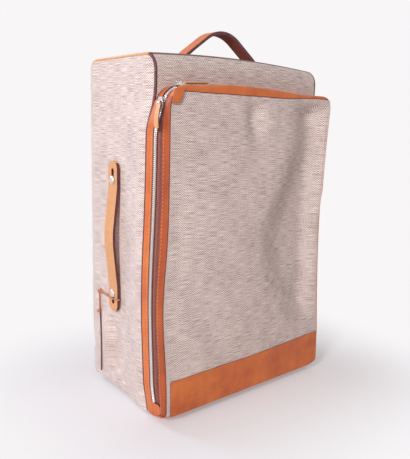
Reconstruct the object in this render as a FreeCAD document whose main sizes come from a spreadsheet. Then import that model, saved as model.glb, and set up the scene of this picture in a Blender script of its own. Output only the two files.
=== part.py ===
import FreeCAD, Part
import math
import os
import Sketcher

# A soft-sided carry-on case: a boarded canvas body with leather piping, a canvas lid on a
# leather gusset that zips round three sides, two leather handles, a telescopic pull handle
# and two wheels. Millimetres, +Z up, front towards -Y. The origin is on the floor, at mid
# width and at the middle of the overall depth.

doc = FreeCAD.newDocument("carry_on_case")
sheet = doc.addObject("Spreadsheet::Sheet", "sizes")

DRIVING = (
    ("body_width", 352), ("body_depth", 180), ("body_height", 538), ("floor_gap", 10),
    ("front_radius", 25), ("rear_radius", 18), ("base_radius", 14),
    ("canvas", 2.5), ("board", 3), ("side_pad", 8), ("side_round", 6.5),
    ("piping_radius", 2.2), ("seam_gap", 0.1), ("part_gap", 0.3),
    ("lid_depth", 45), ("lid_overhang", 1), ("lid_drop", 44), ("lid_rise", 2), ("lid_radius", 24),
    ("strip", 3), ("rear_strip_width", 12), ("front_strip_width", 12.5),
    ("lip_width", 7.5), ("lip_round", 5), ("mouth_border", 11), ("mouth_radius", 14),
    ("lid_board", 3), ("lid_recess", 0.5), ("band_height", 61), ("band_margin", 5), ("band_leather", 1.5),
    ("patch_width", 16), ("patch_height", 28), ("patch_leather", 1.5),
    ("hinge_leather", 2.4), ("hinge_setback", 1.3), ("lid_hem_gap", 1.4),
    ("zip_offset", 17), ("tape", 0.8), ("zip_depth", 3.5), ("tooth_thick", 3), ("tooth_pitch", 5.4),
    ("tooth_width", 2.2), ("tip_gap", 0.7), ("tooth_root", 2.2), ("bead_edge", 3.2), ("zip_end_gap", 1),
    ("slider_length", 13), ("slider_width", 9.4), ("slider_tail", 7.6), ("slider_plate", 1.4),
    ("slider_gap", 0.5),
    ("neck", 0.8), ("neck_length", 3.5), ("pull_pin", 0.8), ("pull_rise", 2.5), ("pull_eye", 2),
    ("link_length", 10), ("link_width", 4), ("link_thick", 1.6), ("lug_width", 1.2),
    ("tab_length", 44), ("tab_width", 10), ("tab_leather", 2), ("tab_corner", 4),
    ("end_tab_height", 18),
    ("handle_length", 180), ("handle_rise", 54), ("handle_angle", 38), ("handle_foot", 24),
    ("strap_width", 26), ("strap_leather", 5), ("handle_shift", 10.5), ("rivet_radius", 3.5),
    ("rivet_setback", 7), ("rivet_spacing", 13), ("rivet_head", 1.5),
    ("grab_length", 245), ("grab_drop", 9), ("grab_shift", 8.5), ("grab_leather", 4.5), ("grab_end", 11.8),
    ("grab_standoff", 3.2), ("grab_bow", 7.8), ("grab_flat", 42), ("stud_inset", 30),
    ("stud_neck", 3.2), ("stud_head", 6.5), ("stud_collar", 5), ("stud_crown", 4.5), ("stud_dome", 3),
    ("washer", 1.5), ("washer_radius", 7.5), ("slot_length", 15),
    ("lace_radius", 1.3), ("lace_reach", 38), ("lace_drop", 145), ("lace_bend", 2), ("knot_radius", 3.6),
    ("wheel_radius", 22), ("wheel_width", 20), ("wheel_setback", 24), ("tyre_wall", 5), ("tyre_shoulder", 2),
    ("hub_boss", 6.5), ("hub_web", 8), ("hub_wall", 2.5), ("hub_draft", 1),
    ("axle_radius", 3), ("axle_fit", 0.08), ("housing_width", 46), ("housing_depth", 52),
    ("housing_height", 46), ("housing_lip", 6), ("lip_reach", 9), ("wheel_gap", 3),
    ("foot_radius", 12), ("foot_top", 14), ("foot_inset", 28), ("foot_setback", 22.5),
    ("screw_head", 3), ("screw_depth", 2.5), ("screw_thick", 2.5),
    ("tube_spread", 150), ("tube_setback", 33), ("outer_tube", 9), ("tube_wall", 1), ("tube_gap", 0.3),
    ("bracket_height", 18), ("bracket_depth", 18), ("bracket_reach", 20),
    ("bezel_length", 204), ("bezel_depth", 28), ("bezel_height", 4), ("bezel_corner", 9), ("plug_height", 12),
    ("grip_length", 190), ("grip_depth", 22), ("grip_height", 12), ("grip_round", 4), ("grip_corner", 8.8),
    ("button_length", 40), ("button_depth", 11), ("button_rise", 1.2), ("button_travel", 3),
    ("button_corner", 3.7),
    ("divider", 1.5),
)
for row, (alias, millimetres) in enumerate(DRIVING, start=1):
    sheet.set(f"A{row}", alias.replace("_", " "))
    sheet.set(f"B{row}", str(millimetres))
    sheet.setAlias(f"B{row}", alias)
doc.recompute()


class Size:
    """A length with the sheet expression that it comes from."""

    def __init__(self, value, text):
        self.value = float(value)
        self.text = text

    @staticmethod
    def of(other):
        return other if isinstance(other, Size) else Size(other, repr(float(other)))

    def __add__(self, other):
        other = Size.of(other)
        return Size(self.value + other.value, f"({self.text} + {other.text})")

    def __sub__(self, other):
        other = Size.of(other)
        return Size(self.value - other.value, f"({self.text} - {other.text})")

    def __mul__(self, other):
        other = Size.of(other)
        return Size(self.value * other.value, f"({self.text} * {other.text})")

    def __truediv__(self, other):
        other = Size.of(other)
        return Size(self.value / other.value, f"({self.text} / {other.text})")

    def __radd__(self, other):
        return Size.of(other) + self

    def __rsub__(self, other):
        return Size.of(other) - self

    def __rmul__(self, other):
        return Size.of(other) * self

    def __neg__(self):
        return Size(0, "0") - self


class Sizes:
    """The sheet's cells as Size values."""

    def __getattr__(self, alias):
        return Size(sheet.get(alias), f"sizes.{alias}")


S = Sizes()
nodes = []

# Places that several pieces share.
half = S.body_width / 2 - S.side_pad
front = (S.lid_depth - S.body_depth) / 2
back = front + S.body_depth
low = S.floor_gap
top = S.floor_gap + S.body_height
inset = S.canvas + S.board
lid_half = half + S.lid_overhang
lid_front = front - S.lid_depth
lid_top = top - S.lid_drop
lid_low = low + S.lid_rise
shelf_top = lid_low + S.strip
hem = lid_low + S.hinge_leather + S.lid_hem_gap
hinge_y = lid_front + S.hinge_setback
hinge_z = lid_low + S.hinge_leather / 2
zip_y = front - S.zip_offset
teeth_face = S.zip_depth - S.tooth_thick / 2
tube_y = back - S.tube_setback
side_face = half + S.side_pad
middle_y = (front + back) / 2
handle_y = middle_y - S.handle_shift
grab_y = middle_y + S.grab_shift
grab_z = (low + top) / 2 - S.grab_drop
stud_reach = S.grab_length / 2 - S.stud_inset
stud_places = (grab_z - stud_reach, grab_z + stud_reach)
shank = S.stud_neck / 2


def bind(thing, prop, amount):
    thing.setExpression(prop, Size.of(amount).text)


def node(thing, name):
    """Names a finished sub-part, so that it is written to its own file."""
    thing.Label = name
    nodes.append(thing)
    return thing


def block(name, x, y, z):
    box = doc.addObject("Part::Box", name)
    for axis, prop, (start, end) in zip("xyz", ("Length", "Width", "Height"), (x, y, z)):
        bind(box, prop, end - start)
        bind(box, f"Placement.Base.{axis}", start)
    return box


AXES = {
    "x": FreeCAD.Rotation(FreeCAD.Vector(0, 1, 0), 90),
    "y": FreeCAD.Rotation(FreeCAD.Vector(1, 0, 0), -90),
    "z": FreeCAD.Rotation(),
}


def rod(name, axis, x, y, z, radius, length):
    """A cylinder that starts at a point and runs along +x, +y or +z."""
    cylinder = doc.addObject("Part::Cylinder", name)
    cylinder.Placement.Rotation = AXES[axis]
    bind(cylinder, "Radius", radius)
    bind(cylinder, "Height", length)
    for letter, place in zip("xyz", (x, y, z)):
        bind(cylinder, f"Placement.Base.{letter}", place)
    return cylinder


def fuse(name, *pieces):
    joined = doc.addObject("Part::MultiFuse", name)
    joined.Shapes = list(pieces)
    return joined


def cut(name, base, *tools):
    result = doc.addObject("Part::Cut", name)
    result.Base = base
    result.Tool = tools[0] if len(tools) == 1 else fuse(f"{name}_tools", *tools)
    return result


def group(name, *pieces):
    together = doc.addObject("Part::Compound", name)
    together.Links = list(pieces)
    return together


def solid(name, shape):
    feature = doc.addObject("Part::Feature", name)
    feature.Shape = shape
    feature.Placement = FreeCAD.Placement()
    return feature


def point(corner):
    return FreeCAD.Vector(Size.of(corner[0]).value, Size.of(corner[1]).value, 0)


def draw(sketch, corners):
    """Draws a closed outline. A corner with two more numbers starts an arc round that centre."""
    first = sketch.GeometryCount
    count = len(corners)
    starts, ends = [], []
    for here, there in zip(corners, corners[1:] + corners[:1]):
        begin, finish = point(here), point(there)
        if len(here) == 2:
            sketch.addGeometry(Part.LineSegment(begin, finish))
            starts.append(1)
            ends.append(2)
            continue
        centre = point(here[2:])
        angles = [math.atan2(p.y - centre.y, p.x - centre.x) for p in (begin, finish)]
        turn = (angles[1] - angles[0]) % (2 * math.pi)
        forward = turn < math.pi
        low_angle = angles[0] if forward else angles[1]
        sweep = turn if forward else 2 * math.pi - turn
        circle = Part.Circle(centre, FreeCAD.Vector(0, 0, 1), (begin - centre).Length)
        sketch.addGeometry(Part.ArcOfCircle(circle, low_angle, low_angle + sweep))
        starts.append(1 if forward else 2)
        ends.append(2 if forward else 1)
    for step in range(count):
        after = (step + 1) % count
        sketch.addConstraint(Sketcher.Constraint(
            "Coincident", first + step, ends[step], first + after, starts[after]))
    for step, corner in enumerate(corners):
        for kind, place in zip(("DistanceX", "DistanceY"), corner[:2]):
            hold(sketch, kind, first + step, starts[step], place)
        if len(corner) == 4:
            chord = point(corners[(step + 1) % count]) - point(corner)
            flat = abs(chord.x) >= abs(chord.y)
            hold(sketch, "DistanceY" if flat else "DistanceX", first + step, 3, corner[3 if flat else 2])


def hold(sketch, kind, geometry, spot, place):
    place = Size.of(place)
    index = sketch.addConstraint(Sketcher.Constraint(kind, -1, 1, geometry, spot, place.value))
    sketch.setExpression(f"Constraints[{index}]", place.text)


def sketch_on(body, plane, shift, loops):
    """A sketch on one of the body's own planes, moved by shift along the plane's axes and normal."""
    sketch = body.newObject("Sketcher::SketchObject", f"{body.Name}_outline")
    support = next(item for item in body.Origin.OriginFeatures if item.Role == f"{plane}_Plane")
    sketch.AttachmentSupport = (support, [""])
    sketch.MapMode = "FlatFace"
    for letter, place in zip("xyz", shift):
        bind(sketch, f"AttachmentOffset.Base.{letter}", place)
    for loop in loops:
        draw(sketch, loop)
    return sketch


def extrude(body, kind, plane, start, end, loops):
    """Adds or cuts a prism that runs from start to end along +X, +Y or +Z."""
    level = -start if plane == "XZ" else start
    feature_sketch = sketch_on(body, plane, (0, 0, level), loops)
    feature = body.newObject(f"PartDesign::{kind}", f"{body.Name}_{kind.lower()}")
    feature.Profile = feature_sketch
    feature.Reversed = (plane == "XZ") == (kind == "Pad")
    bind(feature, "Length", end - start)
    return feature


def prism(name, plane, start, end, *loops):
    body = doc.addObject("PartDesign::Body", name)
    extrude(body, "Pad", plane, start, end, loops)
    return body


def turned(name, y, z, outline):
    """A piece turned about an axis along X through y and z. The outline is (x, radius) corners."""
    body = doc.addObject("PartDesign::Body", name)
    outline_sketch = sketch_on(body, "XY", (0, y, z), [outline])
    revolve = body.newObject("PartDesign::Revolution", f"{name}_turn")
    revolve.Profile = outline_sketch
    revolve.ReferenceAxis = (outline_sketch, ["H_Axis"])
    return body


def soften(body, radius, chosen):
    """Rounds the body's edges whose middle point passes the chosen test."""
    doc.recompute()
    base = body.Tip
    names = [f"Edge{number}" for number, edge in enumerate(base.Shape.Edges, start=1)
             if chosen(edge.valueAt((edge.FirstParameter + edge.LastParameter) / 2))]
    rounding = body.newObject("PartDesign::Fillet", f"{body.Name}_round")
    rounding.Base = (base, names)
    bind(rounding, "Radius", radius)
    return rounding


def rectangle(u, v):
    return [(u[0], v[0]), (u[1], v[0]), (u[1], v[1]), (u[0], v[1])]


def rounded(u, v, low_left, low_right, high_right, high_left):
    """A rectangle with a radius of its own at each corner."""
    return [
        (u[0] + low_left, v[0]), (u[1] - low_right, v[0], u[1] - low_right, v[0] + low_right),
        (u[1], v[0] + low_right), (u[1], v[1] - high_right, u[1] - high_right, v[1] - high_right),
        (u[1] - high_right, v[1]), (u[0] + high_left, v[1], u[0] + high_left, v[1] - high_left),
        (u[0], v[1] - high_left), (u[0], v[0] + low_left, u[0] + low_left, v[0] + low_left),
    ]


def case_side(depth):
    """The body's outline from the side, drawn in by depth."""
    return rounded((front + depth, back - depth), (low + depth, top - depth), S.base_radius - depth,
                   S.base_radius - depth, S.rear_radius - depth, S.front_radius - depth)


def lid_arch(outer, inner, start):
    """A band that follows the lid's two sides and top, between two depths from its outline."""
    radius = S.lid_radius
    centre_x, centre_z = lid_half - radius, lid_top - radius
    corners = [(outer - lid_half, start)]
    for depth, order in ((outer, 1), (inner, -1)):
        side, height = lid_half - depth, lid_top - depth
        arch = [
            (-side, centre_z, -centre_x, centre_z), (-centre_x, height),
            (centre_x, height, centre_x, centre_z), (side, centre_z), (side, start),
        ]
        if order > 0:
            corners += arch
            continue
        corners += [
            (side, start), (side, centre_z, centre_x, centre_z), (centre_x, height),
            (-centre_x, height, -centre_x, centre_z), (-side, centre_z), (-side, start),
        ]
    return corners


# The wheel housings fill notches in the body's two rear bottom corners.
def notch(name, side):
    near, far = half - S.housing_width, half
    x = (near, far) if side > 0 else (-far, -near)
    return block(name, x, (back - S.housing_depth, back + 1), (low - 1, low + S.housing_height))


def stud_holes(name):
    """Holes through the left side for the tails of the side handle's studs."""
    return [rod(f"{name}_stud_{number}", "x", -side_face - 1, grab_y, z, shank + S.seam_gap,
                S.side_pad + S.board + 2) for number, z in enumerate(stud_places)]


def notched(name, base):
    return node(cut(name, base, notch(f"{name}_right_notch", 1), notch(f"{name}_left_notch", -1)), name)


# Stiffening boards under the canvas.
mouth_low = shelf_top + S.mouth_border
mouth_high = lid_top - S.mouth_border
mouth_half = lid_half - S.mouth_border
mouth = rounded((-mouth_half, mouth_half), (mouth_low, mouth_high), *[S.mouth_radius] * 4)
between_boards = (S.board - half, half - S.board)
wall_low, wall_front = low + S.base_radius, top - S.front_radius

frame_outline = rectangle(between_boards, (wall_low, wall_front))
node(prism("front_frame", "XZ", front + S.canvas, front + inset, frame_outline, mouth), "front_frame")
notched("back_board", block("back_board_blank", between_boards, (back - inset, back - S.canvas),
                            (wall_low, top - S.rear_radius)))
notched("bottom_board", block("bottom_board_blank", between_boards,
                              (front + S.base_radius, back - S.base_radius), (low + S.canvas, low + inset)))
tube_places = (-S.tube_spread / 2, S.tube_spread / 2)


def tube_holes(name, radius):
    start, length = top - inset - 1, inset + 2
    return [rod(f"{name}_hole_{number}", "z", x, tube_y, start, radius, length)
            for number, x in enumerate(tube_places)]


node(cut("top_board", block("top_board_blank", between_boards, (front + S.front_radius, back - S.rear_radius),
                            (top - inset, top - S.canvas)),
         *tube_holes("top_board", S.outer_tube + S.seam_gap)), "top_board")
for name, start, side in (("left_board", -half, -1), ("right_board", half - S.board, 1)):
    blank = prism(f"{name}_blank", "YZ", start, start + S.board, case_side(S.canvas))
    holes = stud_holes(name) if side < 0 else []
    node(cut(name, blank, notch(f"{name}_notch", side), *holes), name)


def stay(name, y, z, toward_y, toward_z, radius, reach):
    """A curved stiffener in one long edge of the body, between its two side boards."""
    outer, inner = radius - S.canvas - S.seam_gap, radius - inset
    corners = [
        (y + toward_y * outer, z, y, z), (y, z + toward_z * outer),
        (y, z + toward_z * inner, y, z), (y + toward_y * inner, z),
    ]
    return prism(name, "YZ", -reach, reach, corners)


plain_reach = half - S.board
stays = (
    ("top_front_stay", front + S.front_radius, top - S.front_radius, -1, 1, S.front_radius, plain_reach),
    ("top_back_stay", back - S.rear_radius, top - S.rear_radius, 1, 1, S.rear_radius, plain_reach),
    ("low_front_stay", front + S.base_radius, low + S.base_radius, -1, -1, S.base_radius, plain_reach),
    ("low_back_stay", back - S.base_radius, low + S.base_radius, 1, -1, S.base_radius,
     half - S.housing_width),
)
node(group("corner_stays", *[stay(*details) for details in stays]), "corner_stays")

# Canvas: one wrap over front, top and back, a base sheet, and two padded sides.
ring = case_side(0)
inner_ring = case_side(S.canvas)
wrap_outline = ring[1:] + ring[:1] + [
    (*inner_ring[step % 8][:2], *inner_ring[step - 1][2:]) for step in range(8, 0, -1)]
wrap = prism("wrap_blank", "YZ", -half, half, wrap_outline)
extrude(wrap, "Pocket", "XZ", front - 1, front + inset, [mouth])
node(cut("wrap_canvas", wrap, notch("wrap_right_notch", 1), notch("wrap_left_notch", -1),
         *tube_holes("wrap", S.outer_tube + S.seam_gap)), "wrap_canvas")
notched("base_sheet", block("base_sheet_blank", (-half, half), (front + S.base_radius, back - S.base_radius),
                            (low, low + S.canvas)))
seam = 2 * S.piping_radius + S.seam_gap
for name, side in (("left_side_canvas", -1), ("right_side_canvas", 1)):
    start, end = (half, half + S.side_pad) if side > 0 else (-half - S.side_pad, -half)
    pillow = prism(f"{name}_blank", "YZ", start, end, case_side(seam))
    face = (end if side > 0 else start).value
    soften(pillow, S.side_round, lambda spot: abs(spot.x - face) < 0.01)
    corner = block(f"{name}_corner", (start - 1, end + 1), (back - S.lip_reach, back + 1),
                   (low - 1, low + S.housing_height))
    holes = stud_holes(name) if side < 0 else []
    node(cut(name, pillow, corner, *holes), name)


def piping(name, side):
    """A leather cord round one side panel, from the wheel housing forward, up, over and down."""
    rim = S.piping_radius
    x = (half + rim + S.seam_gap).value * side
    corners = case_side(rim)
    y_end = (back - S.lip_reach).value
    z_end = (low + S.housing_height).value
    spots = [FreeCAD.Vector(x, point(c).x, point(c).y) for c in corners]
    centres = [FreeCAD.Vector(x, point(c[2:]).x, point(c[2:]).y) if len(c) == 4 else None for c in corners]
    bottom = FreeCAD.Vector(x, y_end, spots[0].z)
    edges = [Part.LineSegment(bottom, spots[0]).toShape()]
    for here, there, centre in ((0, 7, centres[7]), (7, 6, None), (6, 5, centres[5]),
                                (5, 4, None), (4, 3, centres[3])):
        begin, finish = spots[here], spots[there]
        if centre is None:
            edges.append(Part.LineSegment(begin, finish).toShape())
            continue
        middle = begin + finish - centre - centre
        through = centre + middle.normalize() * (begin - centre).Length
        edges.append(Part.Arc(begin, through, finish).toShape())
    edges.append(Part.LineSegment(spots[3], FreeCAD.Vector(x, spots[3].y, z_end)).toShape())
    spine = Part.Wire(edges)
    circle = Part.Wire(Part.Circle(bottom, FreeCAD.Vector(0, 1, 0), rim.value).toShape())
    return solid(name, spine.makePipeShell([circle], True, False))


node(piping("left_piping", -1), "left_piping")
node(piping("right_piping", 1), "right_piping")

# Leather gusset that stays on the body, with the strip that the lid hinges on.
node(prism("rear_gusset", "XZ", front - S.rear_strip_width, front, lid_arch(0, S.strip, shelf_top)),
     "rear_gusset")
strip_back = lid_front + S.front_strip_width + S.part_gap
node(block("bottom_gusset", (-lid_half, lid_half), (strip_back, front), (lid_low, shelf_top)),
     "bottom_gusset")
bead = S.hinge_leather / 2
node(prism("lid_hinge_strip", "YZ", -lid_half, lid_half, [
    (hinge_y, hinge_z - bead), (strip_back, hinge_z - bead), (strip_back, hinge_z + bead),
    (hinge_y, hinge_z + bead, hinge_y, hinge_z), (hinge_y - bead, hinge_z, hinge_y, hinge_z)]),
    "lid_hinge_strip")

# The lid: a board with canvas and a leather base band, in a gusset whose lip rolls over its front.
gusset = doc.addObject("PartDesign::Body", "lid_gusset")
extrude(gusset, "Pad", "XZ", lid_front, lid_front + S.front_strip_width, [lid_arch(0, S.strip, hem)])
extrude(gusset, "Pad", "XZ", lid_front, lid_front + S.strip, [lid_arch(0, S.lip_width, hem)])


def on_lid_rim(spot):
    """Whether a point lies on the outer edge of the lid's front."""
    radius = S.lid_radius.value
    beyond_x = abs(spot.x) - (lid_half.value - radius)
    beyond_z = spot.z - (lid_top.value - radius)
    reach = math.hypot(max(beyond_x, 0), max(beyond_z, 0))
    return abs(spot.y - lid_front.value) < 0.01 and abs(reach - radius) < 0.01


soften(gusset, S.lip_round, on_lid_rim)
node(gusset, "lid_gusset")
lid_fit = S.strip + S.seam_gap
lid_shape = rounded((lid_fit - lid_half, lid_half - lid_fit), (hem, lid_top - lid_fit), S.strip, S.strip,
                    S.lid_radius - lid_fit, S.lid_radius - lid_fit)
board_front = lid_front + S.strip
node(prism("lid_board", "XZ", board_front, board_front + S.lid_board, lid_shape), "lid_board")
canvas_fit = S.lip_width + S.seam_gap
canvas_shape = rounded((canvas_fit - lid_half, lid_half - canvas_fit), (hem, lid_top - canvas_fit), S.strip,
                       S.strip, S.lid_radius - canvas_fit, S.lid_radius - canvas_fit)
canvas_front = lid_front + S.lid_recess
node(prism("lid_canvas", "XZ", canvas_front, board_front, canvas_shape), "lid_canvas")
band_half = lid_half - canvas_fit - S.band_margin
node(prism("lid_base_band", "XZ", canvas_front - S.band_leather, canvas_front,
           rounded((-band_half, band_half), (hem, hem + S.band_height), *[S.strip] * 4)), "lid_base_band")
patch_left = S.lip_round - lid_half
patch_top = lid_top - S.lip_round
node(prism("corner_patch", "XZ", lid_front - S.patch_leather, lid_front,
           rounded((patch_left, patch_left + S.patch_width), (patch_top - S.patch_height, patch_top),
                   *[S.strip] * 4)), "corner_patch")

# Zip: a tape and a row of metal teeth on each edge of the gap in the gusset.
tape_outer, tape_inner = S.zip_depth - S.tape / 2, S.zip_depth + S.tape / 2
tape_back = front - S.rear_strip_width / 4
node(prism("rear_zip_tape", "XZ", zip_y + S.bead_edge, tape_back,
           lid_arch(tape_outer, tape_inner, shelf_top)), "rear_zip_tape")
tape_front = lid_front + S.strip + S.lid_board + S.part_gap
node(prism("lid_zip_tape", "XZ", tape_front, zip_y - S.bead_edge,
           lid_arch(tape_outer, tape_inner, hem)), "lid_zip_tape")


def comb(start, length, toward, phase):
    """A straight run of teeth: a bead with teeth at the pitch, as an outline of (along, across)."""
    pitch, width = S.tooth_pitch.value, S.tooth_width.value
    tip, root, edge = (size.value * toward for size in (S.tip_gap, S.tooth_root, S.bead_edge))
    outline = [(start, edge), (start, root)]
    for number in range(int((length - width) // pitch)):
        tooth = start + (number + phase) * pitch + width / 4
        outline += [(tooth, root), (tooth, tip), (tooth + width, tip), (tooth + width, root)]
    return outline + [(start + length, root), (start + length, edge)]


def upright_run(x, start, length, toward, phase):
    corners = [FreeCAD.Vector(x, zip_y.value + across, along)
               for along, across in comb(start, length, toward, phase)]
    face = Part.Face(Part.makePolygon(corners + corners[:1]))
    return face.extrude(FreeCAD.Vector(S.tooth_thick.value, 0, 0))


def level_run(start, length, toward, phase, z):
    corners = [FreeCAD.Vector(along, zip_y.value + across, z)
               for along, across in comb(start, length, toward, phase)]
    face = Part.Face(Part.makePolygon(corners + corners[:1]))
    return face.extrude(FreeCAD.Vector(0, 0, S.tooth_thick.value))


def corner_run(side, toward, phase, margin):
    """Teeth round one top corner of the lid, on a curved bead, short of its ends by an angle."""
    outer = (S.lid_radius - teeth_face).value
    thick, width = S.tooth_thick.value, S.tooth_width.value
    centre_x, centre_z = (lid_half - S.lid_radius).value, (lid_top - S.lid_radius).value
    centre = FreeCAD.Vector(side * centre_x, zip_y.value, centre_z)
    tip, root, edge = S.tip_gap.value, S.tooth_root.value, S.bead_edge.value
    across = FreeCAD.Vector(0, 1, 0)

    def upright(near, far, wide):
        """A plate or block that stands on the inner radius, above the corner's centre."""
        corner = centre + FreeCAD.Vector(-wide / 2, near if toward > 0 else -far, outer - thick)
        return Part.makeBox(wide, far - near, thick, corner)

    block_side = next(face for face in upright(root, edge, 2 * width).Faces if face.normalAt(0, 0).x > 0.9)
    section = block_side.translated(FreeCAD.Vector(-width, 0, 0)).rotated(centre, across, side * margin)
    bead = section.revolve(centre, across, side * (90 - 2 * margin))
    step = math.degrees(S.tooth_pitch.value / (outer - thick / 2))
    angles = [(number + phase + 0.5) * step for number in range(int(90 // step))]
    pieces = [upright(tip, root, width).rotated(centre, across, side * angle)
              for angle in angles if margin < angle < 90 - margin]
    return bead.fuse(pieces)


def teeth(name, toward, phase):
    thick, depth = S.tooth_thick.value, teeth_face.value
    side = lid_half.value - depth
    straight = (lid_half - S.lid_radius).value
    start = (shelf_top + S.end_tab_height + S.zip_end_gap).value
    height = (lid_top - S.lid_radius).value - start
    slider_room = S.slider_length / 2 + S.slider_gap + S.tooth_width
    slider_margin = math.degrees(slider_room.value / (S.lid_radius - S.zip_depth).value)
    runs = [
        upright_run(-side, start, height, toward, phase),
        upright_run(side - thick, start, height, toward, phase),
        level_run(-straight, 2 * straight, toward, phase, lid_top.value - depth - thick),
        corner_run(1, toward, phase, 0),
        corner_run(-1, toward, phase, slider_margin),
    ]
    return solid(name, Part.makeCompound(runs))


node(teeth("rear_zip_teeth", 1, 0), "rear_zip_teeth")
node(teeth("lid_zip_teeth", -1, 0.5), "lid_zip_teeth")
for name, side in (("zip_end_tab_left", -1), ("zip_end_tab_right", 1)):
    x = (lid_half - teeth_face, lid_half) if side > 0 else (-lid_half, teeth_face - lid_half)
    y = (lid_front + S.front_strip_width + S.part_gap, front - S.rear_strip_width)
    tab_round = (y[1] - y[0]) / 3
    foot = shelf_top
    node(prism(name, "YZ", x[0], x[1], rounded(y, (foot, foot + S.end_tab_height), tab_round, S.strip / 2,
                                              S.strip / 4, tab_round)), name)


# Two zip sliders with leather pulls. Each is made lying along +X with its outer side up, about
# the middle of the teeth, and is then set on its run.
def settled(thing, name, side):
    """Sets a slider's piece on the top run of the zip, or on the left run, head down."""
    if side > 0:
        place = (S.lid_radius - lid_half, zip_y, lid_top - S.zip_depth)
    else:
        vectors = [FreeCAD.Vector(0, 0, -1), FreeCAD.Vector(0, -1, 0), FreeCAD.Vector(-1, 0, 0)]
        thing.Placement.Rotation = FreeCAD.Rotation(*vectors, "ZXY")
        place = (S.zip_depth - lid_half, zip_y, lid_top - S.lid_radius)
    for letter, amount in zip("xyz", place):
        bind(thing, f"Placement.Base.{letter}", amount)
    return node(thing, name)


def slider(label, side):
    long, wide, slim = S.slider_length / 2, S.slider_width / 2, S.slider_tail / 2
    inner = S.tooth_thick / 2 + S.slider_gap
    outer = inner + S.slider_plate
    pin_z = outer + S.pull_rise
    shield = [(-long, -slim), (long, -wide), (long, wide), (-long, slim)]
    upper = prism(f"{label}_upper", "XY", inner, outer, shield)
    lower = prism(f"{label}_lower", "XY", -outer, -inner, shield)
    neck = block(f"{label}_neck", (-long, S.neck_length - long), (-S.neck / 2, S.neck / 2), (-inner, inner))
    lug_near = S.link_width / 2 + S.part_gap
    lug_far = lug_near + S.lug_width
    lugs = [block(f"{label}_lug_{number}", (-S.pull_eye, S.pull_eye), span, (outer, pin_z + S.pull_pin))
            for number, span in enumerate(((lug_near, lug_far), (-lug_far, -lug_near)))]
    pin = rod(f"{label}_pin", "y", 0, -lug_near - S.lug_width / 2, pin_z, S.pull_pin, lug_near + lug_far)
    settled(fuse(f"{label}_body", upper, lower, neck, *lugs, pin), f"zip_slider_{label}", side)
    eye = rod(f"{label}_eye", "y", 0, -S.link_width / 2, pin_z, S.pull_eye, S.link_width)
    arm = block(f"{label}_arm", (0, S.link_length), (-S.link_width / 2, S.link_width / 2),
                (pin_z - S.link_thick / 2, pin_z + S.link_thick / 2))
    bore = rod(f"{label}_bore", "y", 0, -S.link_width, pin_z, S.pull_pin + S.part_gap, 2 * S.link_width)
    settled(cut(f"{label}_link", fuse(f"{label}_link_blank", eye, arm), bore), f"zip_link_{label}", side)
    end = S.link_length + S.tab_length
    tab = prism(f"{label}_tab", "XY", pin_z - S.tab_leather / 2, pin_z + S.tab_leather / 2,
                rounded((S.link_length, end), (-S.tab_width / 2, S.tab_width / 2), S.strip / 2,
                        S.tab_corner, S.tab_corner, S.strip / 2))
    settled(tab, f"zip_tab_{label}", side)


slider("left", -1)
slider("right", 1)


# Leather straps. A ribbon follows points in a plane, with a tangent arc at each inner point.
def ribbon(points, radii, thickness):
    """The face of a strip of even thickness along a bent line, in (u, v)."""
    flats = [FreeCAD.Vector(u, v, 0) for u, v in points]
    sides = []
    for offset in (thickness / 2, -thickness / 2):
        edges = []
        last = None
        for number in range(1, len(flats) - 1):
            before = (flats[number] - flats[number - 1]).normalize()
            after = (flats[number + 1] - flats[number]).normalize()
            turn = math.atan2(before.x * after.y - before.y * after.x, before.dot(after))
            tangent = radii[number - 1] * math.tan(abs(turn) / 2)
            normals = [FreeCAD.Vector(-way.y, way.x, 0) for way in (before, after)]
            begin = flats[number] - before * tangent + normals[0] * offset
            finish = flats[number] + after * tangent + normals[1] * offset
            hub = flats[number] - before * tangent + normals[0] * math.copysign(radii[number - 1], turn)
            chord = begin + finish - hub - hub
            through = hub + chord.normalize() * (begin - hub).Length
            start = last or flats[0] + normals[0] * offset
            edges.append(Part.LineSegment(start, begin).toShape())
            edges.append(Part.Arc(begin, through, finish).toShape())
            last = finish
        edges.append(Part.LineSegment(last, flats[-1] + normals[1] * offset).toShape())
        sides.append(edges)
    caps = [Part.LineSegment(sides[0][end].Vertexes[end].Point, sides[1][end].Vertexes[end].Point).toShape()
            for end in (0, -1)]
    return Part.Face(Part.Wire(Part.__sortEdges__(sides[0] + sides[1] + caps)))


def top_handle():
    """A strap arch whose flat feet are riveted to the top board."""
    rise, span, foot = S.handle_rise.value, S.handle_length.value / 2, S.handle_foot.value
    thick, width = S.strap_leather.value, S.strap_width.value
    slope = math.radians(S.handle_angle.value)
    peak = span * math.tan(slope)
    crown = (peak - rise) / (1 / math.cos(slope) - 1)
    bend = foot / 2
    level = top.value + thick / 2 + S.seam_gap.value
    line = [(-span - foot, 0), (-span, 0), (0, peak), (span, 0), (span + foot, 0)]
    face = ribbon([(x, z + level) for x, z in line], [bend, crown, bend], thick)
    face.rotate(FreeCAD.Vector(), FreeCAD.Vector(1, 0, 0), 90)
    face.translate(FreeCAD.Vector(0, handle_y.value - width / 2, 0))
    return face.extrude(FreeCAD.Vector(0, width, 0))


node(solid("top_handle_strap", top_handle()), "top_handle_strap")
rivet_x = S.handle_length / 2 + S.handle_foot - S.rivet_setback
rivets = []
rivet_z = top + S.strap_leather + 2 * S.seam_gap
for number, (x, y) in enumerate((x, y) for x in (-rivet_x, rivet_x) for y in (-0.5, 0.5)):
    rivets.append(rod(f"handle_rivet_{number}", "z", x, handle_y + y * S.rivet_spacing, rivet_z,
                      S.rivet_radius, S.rivet_head))
node(group("top_handle_rivets", *rivets), "top_handle_rivets")


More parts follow.
